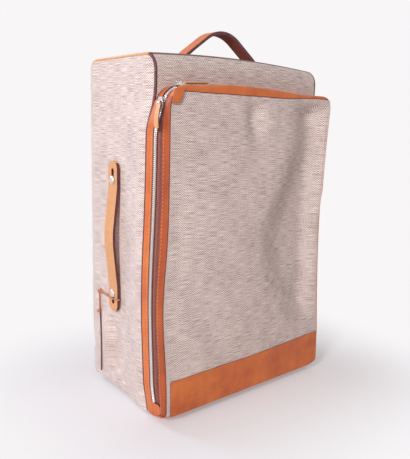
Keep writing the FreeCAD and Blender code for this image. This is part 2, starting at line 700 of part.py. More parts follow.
def side_strap():
    """A bowed strap with a slot near each rounded end, held off the left side by two studs."""
    thick, width = S.grab_leather.value, S.strap_width.value
    reach = S.grab_length.value / 2
    near = side_face.value + S.grab_standoff.value + thick / 2
    far = near + S.grab_bow.value
    flat = reach - S.grab_flat.value
    knee = flat / 2
    line = [(-near, -reach), (-near, -flat), (-far, -knee / 4), (-far, knee / 4), (-near, flat),
            (-near, reach)]
    soft = S.grab_flat.value * 2
    face = ribbon([(x, z + grab_z.value) for x, z in line], [soft] * 4, thick)
    face.rotate(FreeCAD.Vector(), FreeCAD.Vector(1, 0, 0), 90)
    face.translate(FreeCAD.Vector(0, grab_y.value - width / 2, 0))
    return face.extrude(FreeCAD.Vector(0, width, 0))


strap_y = (grab_y - S.strap_width / 2, grab_y + S.strap_width / 2)
strap_z = (grab_z - S.grab_length / 2, grab_z + S.grab_length / 2)
slot_half = S.stud_neck + S.part_gap
loops = [rounded(strap_y, strap_z, *[S.grab_end] * 4)]
for stud, (before, after) in zip(stud_places, ((S.slot_length, 0), (0, S.slot_length))):
    slot_y = (grab_y - slot_half, grab_y + slot_half)
    slot_z = (stud - slot_half - before, stud + slot_half + after)
    loops.append(rounded(slot_y, slot_z, *[slot_half - S.seam_gap] * 4))
strap_reach = side_face + S.grab_standoff + S.grab_bow + S.grab_leather + 5
strap_blank = prism("strap_blank", "YZ", -strap_reach, -side_face, *loops)
strap = doc.addObject("Part::Common", "side_handle_strap")
strap.Base = strap_blank
strap.Tool = solid("strap_bow", side_strap())
node(strap, "side_handle_strap")
studs = []
washers = []
head = side_face + S.grab_standoff + S.grab_leather + S.part_gap
collar = side_face + S.grab_standoff - S.part_gap
washer_in = half - S.board
tail = washer_in - S.washer - S.part_gap
crown = head + S.stud_dome
for number, z in enumerate(stud_places):
    studs.append(turned(f"stud_{number}", grab_y, z, [
        (-tail, 0), (-crown, 0), (-crown, S.stud_crown), (-head - S.stud_dome / 2, S.stud_head),
        (-head, S.stud_head), (-head, S.stud_neck), (-collar, S.stud_neck), (-collar, S.stud_collar),
        (-side_face, S.stud_collar), (-side_face, shank), (-tail, shank)]))
    disc = rod(f"washer_{number}_disc", "x", -washer_in, grab_y, z, S.washer_radius, S.washer)
    hole = rod(f"washer_{number}_hole", "x", -washer_in - 1, grab_y, z, shank + S.seam_gap, S.washer + 2)
    washers.append(cut(f"washer_{number}", disc, hole))
node(group("side_handle_studs", *studs), "side_handle_studs")
node(group("stud_washers", *washers), "stud_washers")


# A thin leather lace looped round the lower end of the side handle, knotted twice, its end hanging.
def tube_along(points, radii, radius):
    """A round cord along straight runs joined by tangent arcs."""
    spots = [FreeCAD.Vector(*spot) for spot in points]
    edges = []
    last = spots[0]
    for before, here, after, bend in zip(spots, spots[1:], spots[2:], radii):
        arrive, leave = (here - before).normalize(), (after - here).normalize()
        half_turn = arrive.getAngle(leave) / 2
        reach = bend * math.tan(half_turn)
        begin, finish = here - arrive * reach, here + leave * reach
        inward = (leave - arrive).normalize()
        through = here + inward * (bend / math.cos(half_turn) - bend)
        edges.append(Part.LineSegment(last, begin).toShape())
        edges.append(Part.Arc(begin, through, finish).toShape())
        last = finish
    edges.append(Part.LineSegment(last, spots[-1]).toShape())
    spine = Part.Wire(edges)
    ring = Part.Wire(Part.Circle(spots[0], spots[1] - spots[0], radius).toShape())
    cord = spine.makePipeShell([ring], True, False)
    wanted = math.pi * radius ** 2 * spine.Length
    if abs(cord.Volume - wanted) > 0.01 * wanted:
        raise SystemExit("a cord's volume is not its section times its length")
    return cord, spine.Length


def bends(points):
    """The largest radius that each inner point of a route leaves room for."""
    spots = [FreeCAD.Vector(*spot) for spot in points]
    radii = []
    for before, here, after in zip(spots, spots[1:], spots[2:]):
        runs = (here - before, after - here)
        turn = runs[0].getAngle(runs[1])
        radii.append(0.45 * min(run.Length for run in runs) / math.tan(turn / 2))
    return radii


lace = S.lace_radius.value
lace_back = -(side_face + S.lace_radius + S.seam_gap).value
lace_fore = -(side_face + S.grab_standoff + S.grab_leather + S.lace_radius + S.part_gap).value
lace_z = (stud_places[0] - S.stud_head - 2 * S.lace_radius).value
strap_front = (strap_y[0] - S.lace_radius - S.part_gap).value
strap_rear = (strap_y[1] + S.lace_radius).value
knot_y = (strap_y[1] + S.lace_reach).value
knot_x = -(side_face + S.knot_radius + S.part_gap).value
loop_route = [
    (knot_x, knot_y - 1, lace_z - 2), (lace_back, strap_rear, lace_z), (lace_back, strap_front, lace_z + 1),
    (lace_fore, strap_front, lace_z + 1), (lace_fore, strap_rear, lace_z), (knot_x, knot_y - 1, lace_z + 2),
]
tight, easy = S.lace_bend.value, 4 * S.lace_bend.value
node(solid("lace_loop", tube_along(loop_route, [easy, tight, tight, easy], lace)[0]), "lace_loop")
lace_drop = S.lace_drop.value
sway = S.lace_radius.value
tail_route = [
    (knot_x, knot_y, lace_z),
    (lace_back - 1.5 * sway, knot_y + sway, lace_z - lace_drop / 8),
    (lace_back - sway / 2, knot_y + 1.5 * sway, lace_z - lace_drop / 4),
    (lace_back - sway / 6, knot_y + sway / 3, lace_z - lace_drop * 0.42),
    (lace_back - sway / 4, knot_y - sway / 3, lace_z - lace_drop * 0.62),
    (lace_back - sway / 12, knot_y - sway / 3, lace_z - lace_drop * 0.81),
    (lace_back - sway / 4, knot_y + sway / 3, lace_z - lace_drop),
]
tail_cord, tail_length = tube_along(tail_route, bends(tail_route), lace)
node(solid("lace_tail", tail_cord), "lace_tail")
print("lace bends", [round(radius) for radius in bends(tail_route)], "length", round(tail_length))
for name, spot in (("lace_upper_knot", tail_route[0]), ("lace_lower_knot", tail_route[2])):
    knot = doc.addObject("Part::Sphere", name)
    bind(knot, "Radius", S.knot_radius)
    knot.Placement.Base = FreeCAD.Vector(knot_x, spot[1], spot[2])
    node(knot, name)

# Wheels in moulded housings at the two rear bottom corners.
wheel_y = back - S.wheel_setback
wheel_z = S.wheel_radius
slot_reach = S.wheel_radius + S.wheel_gap
slot_wide = S.wheel_width / 2 + S.wheel_gap
hub_rim = S.wheel_radius - S.tyre_wall
bore = S.axle_radius + S.axle_fit
axles = []
for word, side in (("left", -1), ("right", 1)):
    name = f"wheel_housing_{word}"
    inner, outer = half - S.housing_width, half
    x = (inner, outer) if side > 0 else (-outer, -inner)
    lip_x = (outer, outer + S.housing_lip) if side > 0 else (-outer - S.housing_lip, -outer)
    centre_x = side * (half - S.housing_width / 2)
    y, z = (back - S.housing_depth, back), (low, low + S.housing_height)
    shell = fuse(f"{name}_solid", block(f"{name}_body", x, y, z),
                 block(f"{name}_rim", lip_x, (back - S.lip_reach, back), z))
    shaped = doc.addObject("Part::Common", f"{name}_shaped")
    shaped.Base = shell
    shaped.Tool = prism(f"{name}_profile", "YZ", -side_face, side_face, case_side(0))
    well = rod(f"{name}_well", "x", centre_x - slot_wide, wheel_y, wheel_z, slot_reach, 2 * slot_wide)
    mouth_slot = block(f"{name}_slot", (centre_x - slot_wide, centre_x + slot_wide),
                       (wheel_y - slot_reach, back + 1), (low - 1, wheel_z))
    seat_x = centre_x - S.housing_width / 2 + S.board
    seat_length = S.housing_width - 2 * S.board
    seat = rod(f"{name}_seat", "x", seat_x, wheel_y, wheel_z, S.axle_radius + S.seam_gap / 2, seat_length)
    node(cut(name, shaped, well, mouth_slot, seat), name)
    axles.append(rod(f"axle_{word}", "x", seat_x, wheel_y, wheel_z, S.axle_radius, seat_length))
    reach, web = S.wheel_width / 2, S.hub_web / 2
    dish_in, dish_out = S.hub_boss + S.hub_draft, hub_rim - S.hub_wall - S.hub_draft
    node(turned(f"wheel_hub_{word}", wheel_y, wheel_z, [
        (centre_x - reach, bore), (centre_x + reach, bore), (centre_x + reach, S.hub_boss),
        (centre_x + web, dish_in), (centre_x + web, dish_out), (centre_x + reach, hub_rim - S.hub_wall),
        (centre_x + reach, hub_rim), (centre_x - reach, hub_rim), (centre_x - reach, hub_rim - S.hub_wall),
        (centre_x - web, dish_out), (centre_x - web, dish_in), (centre_x - reach, S.hub_boss)]),
        f"wheel_hub_{word}")
    edge = S.tyre_shoulder
    node(turned(f"wheel_tyre_{word}", wheel_y, wheel_z, [
        (centre_x - reach, hub_rim), (centre_x + reach, hub_rim), (centre_x + reach, S.wheel_radius - edge),
        (centre_x + reach - edge, S.wheel_radius), (centre_x - reach + edge, S.wheel_radius),
        (centre_x - reach, S.wheel_radius - edge)]), f"wheel_tyre_{word}")
node(group("wheel_axles", *axles), "wheel_axles")

# Two front feet, screwed on from below.
feet = []
foot_screws = []
foot_y = front + S.foot_setback
for word, side in (("left", -1), ("right", 1)):
    foot_x = side * (half - S.foot_inset)
    cone = doc.addObject("Part::Cone", f"foot_{word}_cone")
    bind(cone, "Radius1", S.foot_radius)
    bind(cone, "Radius2", S.foot_top)
    bind(cone, "Height", S.floor_gap)
    bind(cone, "Placement.Base.x", foot_x)
    bind(cone, "Placement.Base.y", foot_y)
    sink = rod(f"foot_{word}_sink", "z", foot_x, foot_y, -1, S.screw_head + S.part_gap,
               1 + S.screw_depth + S.screw_thick)
    feet.append(cut(f"foot_{word}", cone, sink))
    foot_screws.append(rod(f"foot_screw_{word}", "z", foot_x, foot_y, S.screw_depth, S.screw_head,
                           S.screw_thick))
node(group("front_feet", *feet), "front_feet")
node(group("foot_screws", *foot_screws), "foot_screws")


# Two-stage telescopic pull handle behind a divider.
def tubes(name, radius, start, end):
    length, hollow = end - start, radius - S.tube_wall
    pair = [cut(f"{name}_{number}", rod(f"{name}_{number}_rod", "z", x, tube_y, start, radius, length),
                rod(f"{name}_{number}_bore", "z", x, tube_y, start - 1, hollow, length + 2))
            for number, x in enumerate(tube_places)]
    return node(group(name, *pair), name)


bracket_top = low + inset + S.bracket_height
bracket_half = S.tube_spread / 2 + S.bracket_reach
depth = (tube_y - S.bracket_depth / 2, tube_y + S.bracket_depth / 2)
node(block("trolley_bracket", (-bracket_half, bracket_half), depth, (low + inset, bracket_top)),
     "trolley_bracket")
divider_back = tube_y - S.outer_tube - S.part_gap
notched("divider_panel", block("divider_blank", between_boards, (divider_back - S.divider, divider_back),
                               (low + inset, top - inset)))
bezel_top = top + S.bezel_height
middle_tube = S.outer_tube - S.tube_wall - S.tube_gap
inner_tube = middle_tube - S.tube_wall - S.tube_gap
middle_low = bracket_top + S.part_gap
plug_top = middle_low + S.plug_height
plug_radius = middle_tube - S.tube_wall - S.seam_gap / 2
tubes("trolley_outer_tubes", S.outer_tube, bracket_top, top)
tubes("trolley_middle_tubes", middle_tube, middle_low, bezel_top)
node(group("trolley_middle_plugs", *[
    rod(f"middle_plug_{number}", "z", x, tube_y, middle_low, plug_radius, S.plug_height)
    for number, x in enumerate(tube_places)]), "trolley_middle_plugs")
grip_low = bezel_top + S.part_gap
tubes("trolley_inner_tubes", inner_tube, plug_top + S.part_gap, grip_low)
bezel_y = (tube_y - S.bezel_depth / 2, tube_y + S.bezel_depth / 2)
bezel = prism("bezel_plate", "XY", top, bezel_top,
              rounded((-S.bezel_length / 2, S.bezel_length / 2), bezel_y, *[S.bezel_corner] * 4))
node(cut("trolley_bezel", bezel, *[
    rod(f"bezel_bore_{number}", "z", x, tube_y, top - 1, middle_tube + S.tube_gap, S.bezel_height + 2)
    for number, x in enumerate(tube_places)]), "trolley_bezel")
grip_y = (tube_y - S.grip_depth / 2, tube_y + S.grip_depth / 2)
grip_top = grip_low + S.grip_height
grip = prism("grip_body", "XY", grip_low, grip_top,
             rounded((-S.grip_length / 2, S.grip_length / 2), grip_y, *[S.grip_corner] * 4))
soften(grip, S.grip_round, lambda spot: abs(spot.z - grip_top.value) < 0.01)
button_x = (-S.button_length / 2, S.button_length / 2)
button_y = (tube_y - S.button_depth / 2, tube_y + S.button_depth / 2)
button_low = grip_top - S.button_travel - S.button_rise
well_low = button_low - S.button_travel - S.part_gap
room = S.part_gap
well = block("button_well", (button_x[0] - room, button_x[1] + room),
             (button_y[0] - room, button_y[1] + room), (well_low, grip_top + 1))
node(cut("trolley_grip", grip, well), "trolley_grip")
button = prism("release_button_key", "XY", button_low, grip_top + S.button_rise,
               rounded(button_x, button_y, *[S.button_corner] * 4))
node(button, "release_button")

doc.recompute()
broken = [item.Label for item in doc.Objects if {"Invalid", "Error"} & set(item.State)]
broken += [item.Label for item in nodes if item.Shape.isNull() or not item.Shape.isValid()]
if broken:
    raise SystemExit(f"not built: {broken}")
os.makedirs("parts", exist_ok=True)
for item in nodes:
    item.Shape.exportStep(f"parts/{item.Label}.step")
print(len(nodes), "sub-parts written")
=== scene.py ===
import bmesh
import bpy
import math
from mathutils import Matrix, Vector


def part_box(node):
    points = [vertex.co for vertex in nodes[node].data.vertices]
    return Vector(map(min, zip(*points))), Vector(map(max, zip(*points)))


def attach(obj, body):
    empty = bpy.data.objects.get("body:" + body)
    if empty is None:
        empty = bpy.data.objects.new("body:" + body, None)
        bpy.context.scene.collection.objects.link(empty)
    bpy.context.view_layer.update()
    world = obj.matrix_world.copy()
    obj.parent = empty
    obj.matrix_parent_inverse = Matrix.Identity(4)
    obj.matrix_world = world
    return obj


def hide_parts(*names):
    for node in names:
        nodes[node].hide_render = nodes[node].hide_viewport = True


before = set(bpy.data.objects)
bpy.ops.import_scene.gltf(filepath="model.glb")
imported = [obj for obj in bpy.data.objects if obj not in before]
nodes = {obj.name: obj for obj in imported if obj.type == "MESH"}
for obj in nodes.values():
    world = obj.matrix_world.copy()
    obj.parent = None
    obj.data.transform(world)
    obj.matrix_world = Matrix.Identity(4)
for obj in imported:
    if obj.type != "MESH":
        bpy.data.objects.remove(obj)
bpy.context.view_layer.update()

# Boards: the fibreboard panels, curved stays and divider that hold the case in shape.
# They are cut from 3 mm board and faced with a plain woven lining, glued down all over.


def linear(hex_colour):
    """An sRGB hex colour as the linear colour that a shader takes."""
    parts = [int(hex_colour[i:i + 2], 16) / 255 for i in (1, 3, 5)]
    return (*[p / 12.92 if p <= 0.04045 else ((p + 0.055) / 1.055) ** 2.4 for p in parts], 1.0)


def put(tree, kind, inputs=None, **settings):
    """Adds a node, sets its settings, and sets or links its inputs by name or number."""
    made = tree.nodes.new(kind)
    for name, value in settings.items():
        setattr(made, name, value)
    for socket, value in (inputs or {}).items():
        if isinstance(value, bpy.types.NodeSocket):
            tree.links.new(value, made.inputs[socket])
        else:
            made.inputs[socket].default_value = value
    return made


def finish_named(name, **sockets):
    """A new material with its shader, and the constant values on the shader's own sockets."""
    material = bpy.data.materials.new(name)
    material.use_nodes = True
    shader = material.node_tree.nodes["Principled BSDF"]
    for socket, value in sockets.items():
        shader.inputs[socket.replace("_", " ")].default_value = value
    return material, material.node_tree, shader


def two_tones(tree, value, dark, pale, start=0.0, end=1.0):
    """A colour ramp on a value, from the dark tone where it starts to the pale one where it ends."""
    made = put(tree, "ShaderNodeValToRGB", {"Fac": value})
    for step, at, tone in zip(made.color_ramp.elements, (start, end), (dark, pale)):
        step.position = at
        step.color = linear(tone)
    return made


def wire(tree, shader, **sources):
    """Links the first output of each node to the shader's socket of that name."""
    for socket, source in sources.items():
        tree.links.new(source.outputs[0], shader.inputs[socket.replace("_", " ")])


def dress(material, *names):
    """Gives CAD nodes a material."""
    for name in names:
        for place in nodes[name].material_slots:
            place.link = "OBJECT"
            place.material = material


# Lining cloth: plain woven cotton, matt, with threads that show as a fine grid.
# The threads are 0.5 mm in the real cloth and are drawn 3 mm apart so that they show.
lining, tree, shader = finish_named("lining_cotton", Roughness=0.9)
thread = 3.0
place = put(tree, "ShaderNodeTexCoord").outputs["Object"]
scaled = put(tree, "ShaderNodeMapping", {"Vector": place, "Scale": (1000 / thread,) * 3})
weave = put(tree, "ShaderNodeTexChecker", {"Vector": scaled.outputs[0], "Scale": 1.0})
cloud = put(tree, "ShaderNodeTexNoise", {"Vector": place, "Scale": 45.0, "Detail": 4.0})
blend = put(tree, "ShaderNodeMath", {0: weave.outputs["Fac"], 1: 0.25, 2: cloud.outputs["Fac"]},
            operation="MULTIPLY_ADD")
shade = two_tones(tree, blend.outputs[0], "#A2958B", "#BFB3A8", start=0.3, end=0.9)
relief = put(tree, "ShaderNodeBump", {"Height": blend.outputs[0], "Strength": 0.2, "Distance": 0.0003})
wire(tree, shader, Base_Color=shade, Normal=relief)
dress(lining, "front_frame", "back_board", "bottom_board", "top_board", "left_board", "right_board",
      "corner_stays", "divider_panel")

# Wrap and base sheet: herringbone canvas glued round the front, top and back, and under the base.
# It is stretched over the boards, bows up a little along the top front edge, where a band of its top
# is painted dark maroon, and swells at the left.

# Planes and edges of the straight model in millimetres, and the share of the bulge beside the zip
# that the body's cloth and piping follow.
mouth_plane, lid_face = -67.5, -112.5
lid_half, lid_top, lid_corner = 169, 504, 24
lip_half, lip_low = 161.5, 496.5
body_share = 0.75


def clamped(value):
    """The value, held between 0 and 1."""
    return min(max(value, 0.0), 1.0)


def ease(value):
    """Runs smoothly from 0 to 1 as the value does."""
    value = clamped(value)
    return value * value * (3 - 2 * value)


def settled(point, share=1.0):
    """Where a point of the packed, sagging case lies, for its place in the straight model.

    The share says how much of the bulge beside the zip a piece follows.
    """
    x, y, z = [1000 * c for c in point]
    depth = clamped((mouth_plane - y) / (mouth_plane - lid_face))
    across = clamped((x + lid_half) / (2 * lid_half))
    body = ease((20 - y) / 87.5) * share
    # The left wall bulges beside the zip, and the lid's left edge bulges lower down.
    plump = math.exp(-((z - 195) / 130) ** 2)
    rear = -(15 * ease((lid_top - z) / 70) + 6.8 * plump) * (0.55 + 0.45 * ease(z / 65))
    belly = math.exp(-((z - 185) / 85) ** 2)
    front = -(12 + 8.5 * belly) * ease((515 - z) / 45)
    left = rear + (front - rear) * ease((depth - 0.38) / 0.62)
    # The lid's right edge draws in at half its height.
    hip = math.sin(math.pi * clamped((z - 80) / 480))
    right = (2 * ease((80 - z) / 60) - 14 * hip) * depth + 6 * ease((z - 380) / 120) * (1 - depth)
    # The foot of the lid is rounded, and most at its two corners.
    turn = 8 + 9 * ease((abs(x) - 145) / 22)
    out, down = lid_face + turn - y, 12 + turn - z
    if out > 0 and down > 0:
        squeeze = max(out, down) / math.hypot(out, down)
        y = lid_face + turn - out * squeeze
        z = 12 + turn - down * squeeze
    # The lip leans outwards round the canvas front.
    if y < -108:
        on_canvas = abs(x) < lip_half
        lean = ease((abs(x) - 100) / 61.5) if on_canvas else max(lid_half - abs(x), 0.0) / 7.5
        x += math.copysign(5 * lean, x)
        rise = ease((z - 440) / 56.5) if z < lip_low else max(lid_top - z, 0.0) / 7.5
        z += 3 * ease((x - 40) / 100) * rise
    # The top front edge bows, the lid's top has a crest, the back swells and the bottom sags.
    hump = 1 - min(abs(x) / 168, 1.0) ** 2
    peak = max(1 - ((x + 45) / 135) ** 2, 0.0) * ease((x + 172) / 120)
    bow = 6 * hump * ease((z - 508) / 34) * ease((-5 - y) / 45)
    crest = 5.5 * peak * ease((z - 496) / 8) * ease((-60 - y) / 40) * ease((520 - z) / 10)
    swell = 7 * ease((y - 40) / 70) * ease((z - 50) / 60)
    lift = 3.5 * ease((z - 490) / 58) * max(ease((-10 - y) / 30), ease((abs(x) - 120) / 35))
    sag = 5.5 * ease((45 - z) / 40) * ease((60 - y) / 110) * ease((y + 98) / 18)
    x += (left + (right - left) * across) * body
    y += swell
    z += bow + crest + lift - sag
    return Vector((x, y, z)) / 1000


def settle(work, share=1.0):
    """Moves each point of a mesh to its settled place."""
    for vert in work.verts:
        vert.co = settled(vert.co, share)


def cut_across(work, spot, facing):
    """Cuts a mesh along a plane, so that it can bend or change its material there."""
    bmesh.ops.bisect_plane(work, geom=work.verts[:] + work.edges[:] + work.faces[:], dist=0.00005,
                           plane_co=spot, plane_no=facing)


def diced(name, pitch, axes="xyz"):
    """A merged copy of a CAD node's mesh, cut into small squares so that it can bend."""
    work = bmesh.new()
    work.from_mesh(nodes[name].data)
    bmesh.ops.remove_doubles(work, verts=work.verts, dist=0.00001)
    bmesh.ops.dissolve_limit(work, angle_limit=0.004, verts=work.verts, edges=work.edges)
    low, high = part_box(name)
    for axis in axes:
        at = "xyz".index(axis)
        count = max(1, round((high[at] - low[at]) * 1000 / pitch))
        for step in range(1, count):
            spot = Vector((0, 0, 0))
            spot[at] = low[at] + (high[at] - low[at]) * step / count
            facing = Vector((0, 0, 0))
            facing[at] = 1
            cut_across(work, spot, facing)
    return work


def laid_out(work):
    """Gives each face a UV place in millimetres, seen along its nearest axis, before it is bent."""
    flat = work.loops.layers.uv.new("flat_mm")
    for face in work.faces:
        facing = [abs(c) for c in face.normal]
        at = facing.index(max(facing))
        for corner in face.loops:
            spot = 1000 * corner.vert.co
            corner[flat].uv = ((spot.y, spot.z), (spot.x, spot.z), (spot.x, spot.y))[at]


def piece_of(name, work, body, slot, *materials, stands_for=(), round_edge=0.0):
    """Makes the finished piece from its mesh: smooth faces, eased edges and its body. Its slot is not used.
    """
    mesh = bpy.data.meshes.new(name)
    work.to_mesh(mesh)
    work.free()
    mesh.shade_smooth()
    mesh.set_sharp_from_angle(angle=math.radians(38))
    made = bpy.data.objects.new(name, mesh)
    bpy.context.scene.collection.objects.link(made)
    for material in materials:
        mesh.materials.append(material)
    if round_edge:
        ease_edges = made.modifiers.new("eased_edges", "BEVEL")
        ease_edges.width = round_edge / 1000
        ease_edges.segments = 2
        ease_edges.limit_method = "ANGLE"
        ease_edges.angle_limit = math.radians(50)
        ease_edges.use_clamp_overlap = True
    if stands_for:
        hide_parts(*stands_for)
    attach(made, body)
    return made


# Herringbone canvas: cotton and jute in chevron columns with thick slubs, matt and a little fuzzy.
# The real twill is about 2 mm; it is drawn 3.2 mm in 8 mm columns so that it shows.
canvas, tree, shader = finish_named("herringbone_canvas", Roughness=0.88, Sheen_Weight=0.3,
                                    Sheen_Roughness=0.4, Specular_IOR_Level=0.25)
column, twill = 8.0, 3.2
flat = put(tree, "ShaderNodeUVMap", uv_map="flat_mm").outputs[0]
parts = put(tree, "ShaderNodeSeparateXYZ", {0: flat})
zigzag = put(tree, "ShaderNodeMath", {0: parts.outputs[0], 1: column}, operation="PINGPONG")
slope = put(tree, "ShaderNodeMath", {0: zigzag.outputs[0], 1: parts.outputs[1]}, operation="ADD")
turns = put(tree, "ShaderNodeMath", {0: slope.outputs[0], 1: 2 * math.pi / twill}, operation="MULTIPLY")
rib = put(tree, "ShaderNodeMath", {0: turns.outputs[0]}, operation="SINE")
slub_place = put(tree, "ShaderNodeMapping", {"Vector": flat, "Scale": (0.05, 1.6, 1.0)})
slub = put(tree, "ShaderNodeTexNoise", {"Vector": slub_place.outputs[0], "Scale": 1.0, "Detail": 2.0})
warp_place = put(tree, "ShaderNodeMapping", {"Vector": flat, "Scale": (0.9, 0.05, 1.0)})
warp = put(tree, "ShaderNodeTexNoise", {"Vector": warp_place.outputs[0], "Scale": 1.0, "Detail": 2.0})
cloud = put(tree, "ShaderNodeTexNoise", {"Vector": flat, "Scale": 0.02, "Detail": 1.0})
rib_part = put(tree, "ShaderNodeMath", {0: rib.outputs[0], 1: 0.17, 2: slub.outputs["Fac"]},
               operation="MULTIPLY_ADD")
warp_part = put(tree, "ShaderNodeMath", {0: warp.outputs["Fac"], 1: 0.2, 2: rib_part.outputs[0]},
                operation="MULTIPLY_ADD")
threads = put(tree, "ShaderNodeMath", {0: cloud.outputs["Fac"], 1: 0.14, 2: warp_part.outputs[0]},
              operation="MULTIPLY_ADD")
shade = two_tones(tree, threads.outputs[0], "#80635B", "#F2DED4", start=0.42, end=0.82)
relief = put(tree, "ShaderNodeBump", {"Height": threads.outputs[0], "Strength": 0.35, "Distance": 0.0006})
wire(tree, shader, Base_Color=shade, Normal=relief)

# Edge paint: maroon acrylic brushed on the cut edges of the leather, with thin and thick patches.
# The same maroon also stands in as painted shade: down the piping's front edge, along the gusset's back
# seam, inside the lid's lip and round the lid canvas's border.
edge_paint_and_shade, tree, shader = finish_named("maroon_paint_and_shade", Roughness=0.5)
place = put(tree, "ShaderNodeTexCoord").outputs["Object"]
patch = put(tree, "ShaderNodeTexNoise", {"Vector": place, "Scale": 160.0, "Detail": 3.0})
shade = two_tones(tree, patch.outputs["Fac"], "#4A2226", "#743A36", start=0.3, end=0.75)
wire(tree, shader, Base_Color=shade)

painted_line = (-0.0555, -0.041)
for name, flat_size, cut_area, glued_to in (
        ("wrap_canvas", (0.336, 1.254), 0.28, ["front_frame", "top_board", "back_board"]),
        ("base_sheet", (0.336, 0.152), 0.049, ["bottom_board"])):
    work = diced(name, 14)
    laid_out(work)
    for edge in painted_line:
        cut_across(work, (0, edge, 0), (0, 1, 0))
    for face in work.faces:
        middle = face.calc_center_median()
        painted = middle.z > 0.54 and painted_line[0] < middle.y < painted_line[1]
        face.material_index = 1 if painted else 0
    settle(work, body_share)
    cloth = piece_of(name.replace("_", "_soft_", 1), work, "case", "canvas", canvas, edge_paint_and_shade,
                     stands_for=[name])

# Side panels: padded canvas over 8 mm foam, sewn into the piping so that the border pulls in.
# The left one swells towards the lid where the case is packed full. At the foot, at the back and
# beside the gusset the cloth rolls over the piping and hides it. Below the side handle of the left
# one the cloth has gone slack and folds.
side_edge = {"y": (mouth_plane, 112.5), "z": (10.0, 548.0)}
for side, way in (("left", -1), ("right", 1)):
    work = diced(side + "_side_canvas", 7, "yz")
    laid_out(work)
    for vert in work.verts:
        x, y, z = [1000 * c for c in vert.co]
        inner = min(y - side_edge["y"][0], side_edge["y"][1] - y)
        inner = min(inner, z - side_edge["z"][0], side_edge["z"][1] - z)
        puff = clamped((abs(x) - 168) / 8)
        pull = 2.6 * (1 - ease((inner - 4) / 34)) * puff + 6 * ease((-40 - y) / 24) * puff
        pucker = 0.35 * math.sin(z / 7.5) * (1 - ease((inner - 3) / 16)) * puff
        if side == "left":
            slack = ease((146 - z) / 30) * ease((z - 22) / 45)
            width = 14 + 0.55 * (138 - z)
            ahead = 59 - y
            pull += 7.2 * slack * puff * ease((ahead + 4) / 18) * (1 - ease((ahead - width + 14) / 18))
            pull -= 10 * slack * puff * ease((y - 50) / 11) * (1 - ease((y - 61) / 16))
        under = 7 * ease((34 - z) / 18) - 1.8 * ease((z - 515) / 20)
        along = 5.6 * ease((y - 88) / 18) - 4.6 * ease((-46 - y) / 14) * ease((482 - z) / 24)
        sewn = Vector((x - way * (pull + pucker), y + along, z - under)) / 1000
        vert.co = settled(sewn, body_share)
    side_panel = piece_of(side + "_side_padded", work, "case", "canvas", canvas,
                          stands_for=[side + "_side_canvas"])

# Piping: a cord covered in natural leather, sewn in round each side panel. It is painted maroon down
# the front edge, as edge paint and as painted shade in the valley it lies in, and stays pale over the
# top, partly as a painted highlight.

# Vegetable tanned leather: orange tan with fine grain, darker in the pores, waxed to a soft shine.
# The grain is about 0.6 mm and is drawn 1.6 mm so that it shows.
leather, tree, shader = finish_named("waxed_tan_leather", Specular_IOR_Level=0.45)
grain_width = 1.6
place = put(tree, "ShaderNodeTexCoord").outputs["Object"]
grain = put(tree, "ShaderNodeTexVoronoi", {"Vector": place, "Scale": 1000 / grain_width},
            feature="SMOOTH_F1")
cloud = put(tree, "ShaderNodeTexNoise", {"Vector": place, "Scale": 26.0, "Detail": 5.0, "Roughness": 0.6})
streak_place = put(tree, "ShaderNodeMapping", {"Vector": place, "Scale": (90.0, 90.0, 14.0)})
streak = put(tree, "ShaderNodeTexNoise", {"Vector": streak_place.outputs[0], "Scale": 1.0, "Detail": 3.0})
mottle = put(tree, "ShaderNodeMath", {0: streak.outputs["Fac"], 1: 0.16, 2: cloud.outputs["Fac"]},
             operation="MULTIPLY_ADD")
pores = put(tree, "ShaderNodeMath", {0: grain.outputs["Distance"], 1: -0.16, 2: mottle.outputs[0]},
            operation="MULTIPLY_ADD")
shade = two_tones(tree, pores.outputs[0], "#AE461A", "#E27F40", start=0.18, end=0.83)
gloss = put(tree, "ShaderNodeMapRange", {"Value": cloud.outputs["Fac"], 1: 0.3, 2: 0.7, 3: 0.38, 4: 0.58})
relief = put(tree, "ShaderNodeBump", {"Height": grain.outputs["Distance"], "Strength": 0.18,
                                      "Distance": 0.0004})
wire(tree, shader, Base_Color=shade, Roughness=gloss, Normal=relief)

# Natural leather: undyed veg-tan, paler than the trim, with the same fine grain drawn 1.6 mm.
natural_leather, tree, shader = finish_named("natural_leather", Roughness=0.5)
place = put(tree, "ShaderNodeTexCoord").outputs["Object"]
grain = put(tree, "ShaderNodeTexNoise", {"Vector": place, "Scale": 1000 / grain_width, "Detail": 3.0})
shade = two_tones(tree, grain.outputs["Fac"], "#C38151", "#DFA674", start=0.3, end=0.7)
relief = put(tree, "ShaderNodeBump", {"Height": grain.outputs["Fac"], "Strength": 0.15, "Distance": 0.0003})
wire(tree, shader, Base_Color=shade, Normal=relief)

for side, way in (("left", -1), ("right", 1)):
    work = diced(side + "_piping", 14)
    for vert in work.verts:
        tuck = ease((-0.04 - vert.co.y) / 0.015) * ease((0.05 - vert.co.z) / 0.025)
        rear = ease((vert.co.y - 0.085) / 0.015) * ease((0.54 - vert.co.z) / 0.03)
        vert.co += Vector((-way * 0.005, 0.004, 0.006)) * tuck + Vector((-way * 0.004, -0.005, 0)) * rear
    # The front and inner faces take the maroon: edge paint and painted shade.
    for face in work.faces:
        middle = face.calc_center_median()
        face.material_index = 1 if middle.y < -0.05 or abs(middle.x) < 0.1694 else 0
    settle(work, body_share)
    piece_of(side + "_piping_cord", work, "case", "leather", natural_leather, edge_paint_and_shade,
             stands_for=[side + "_piping"])

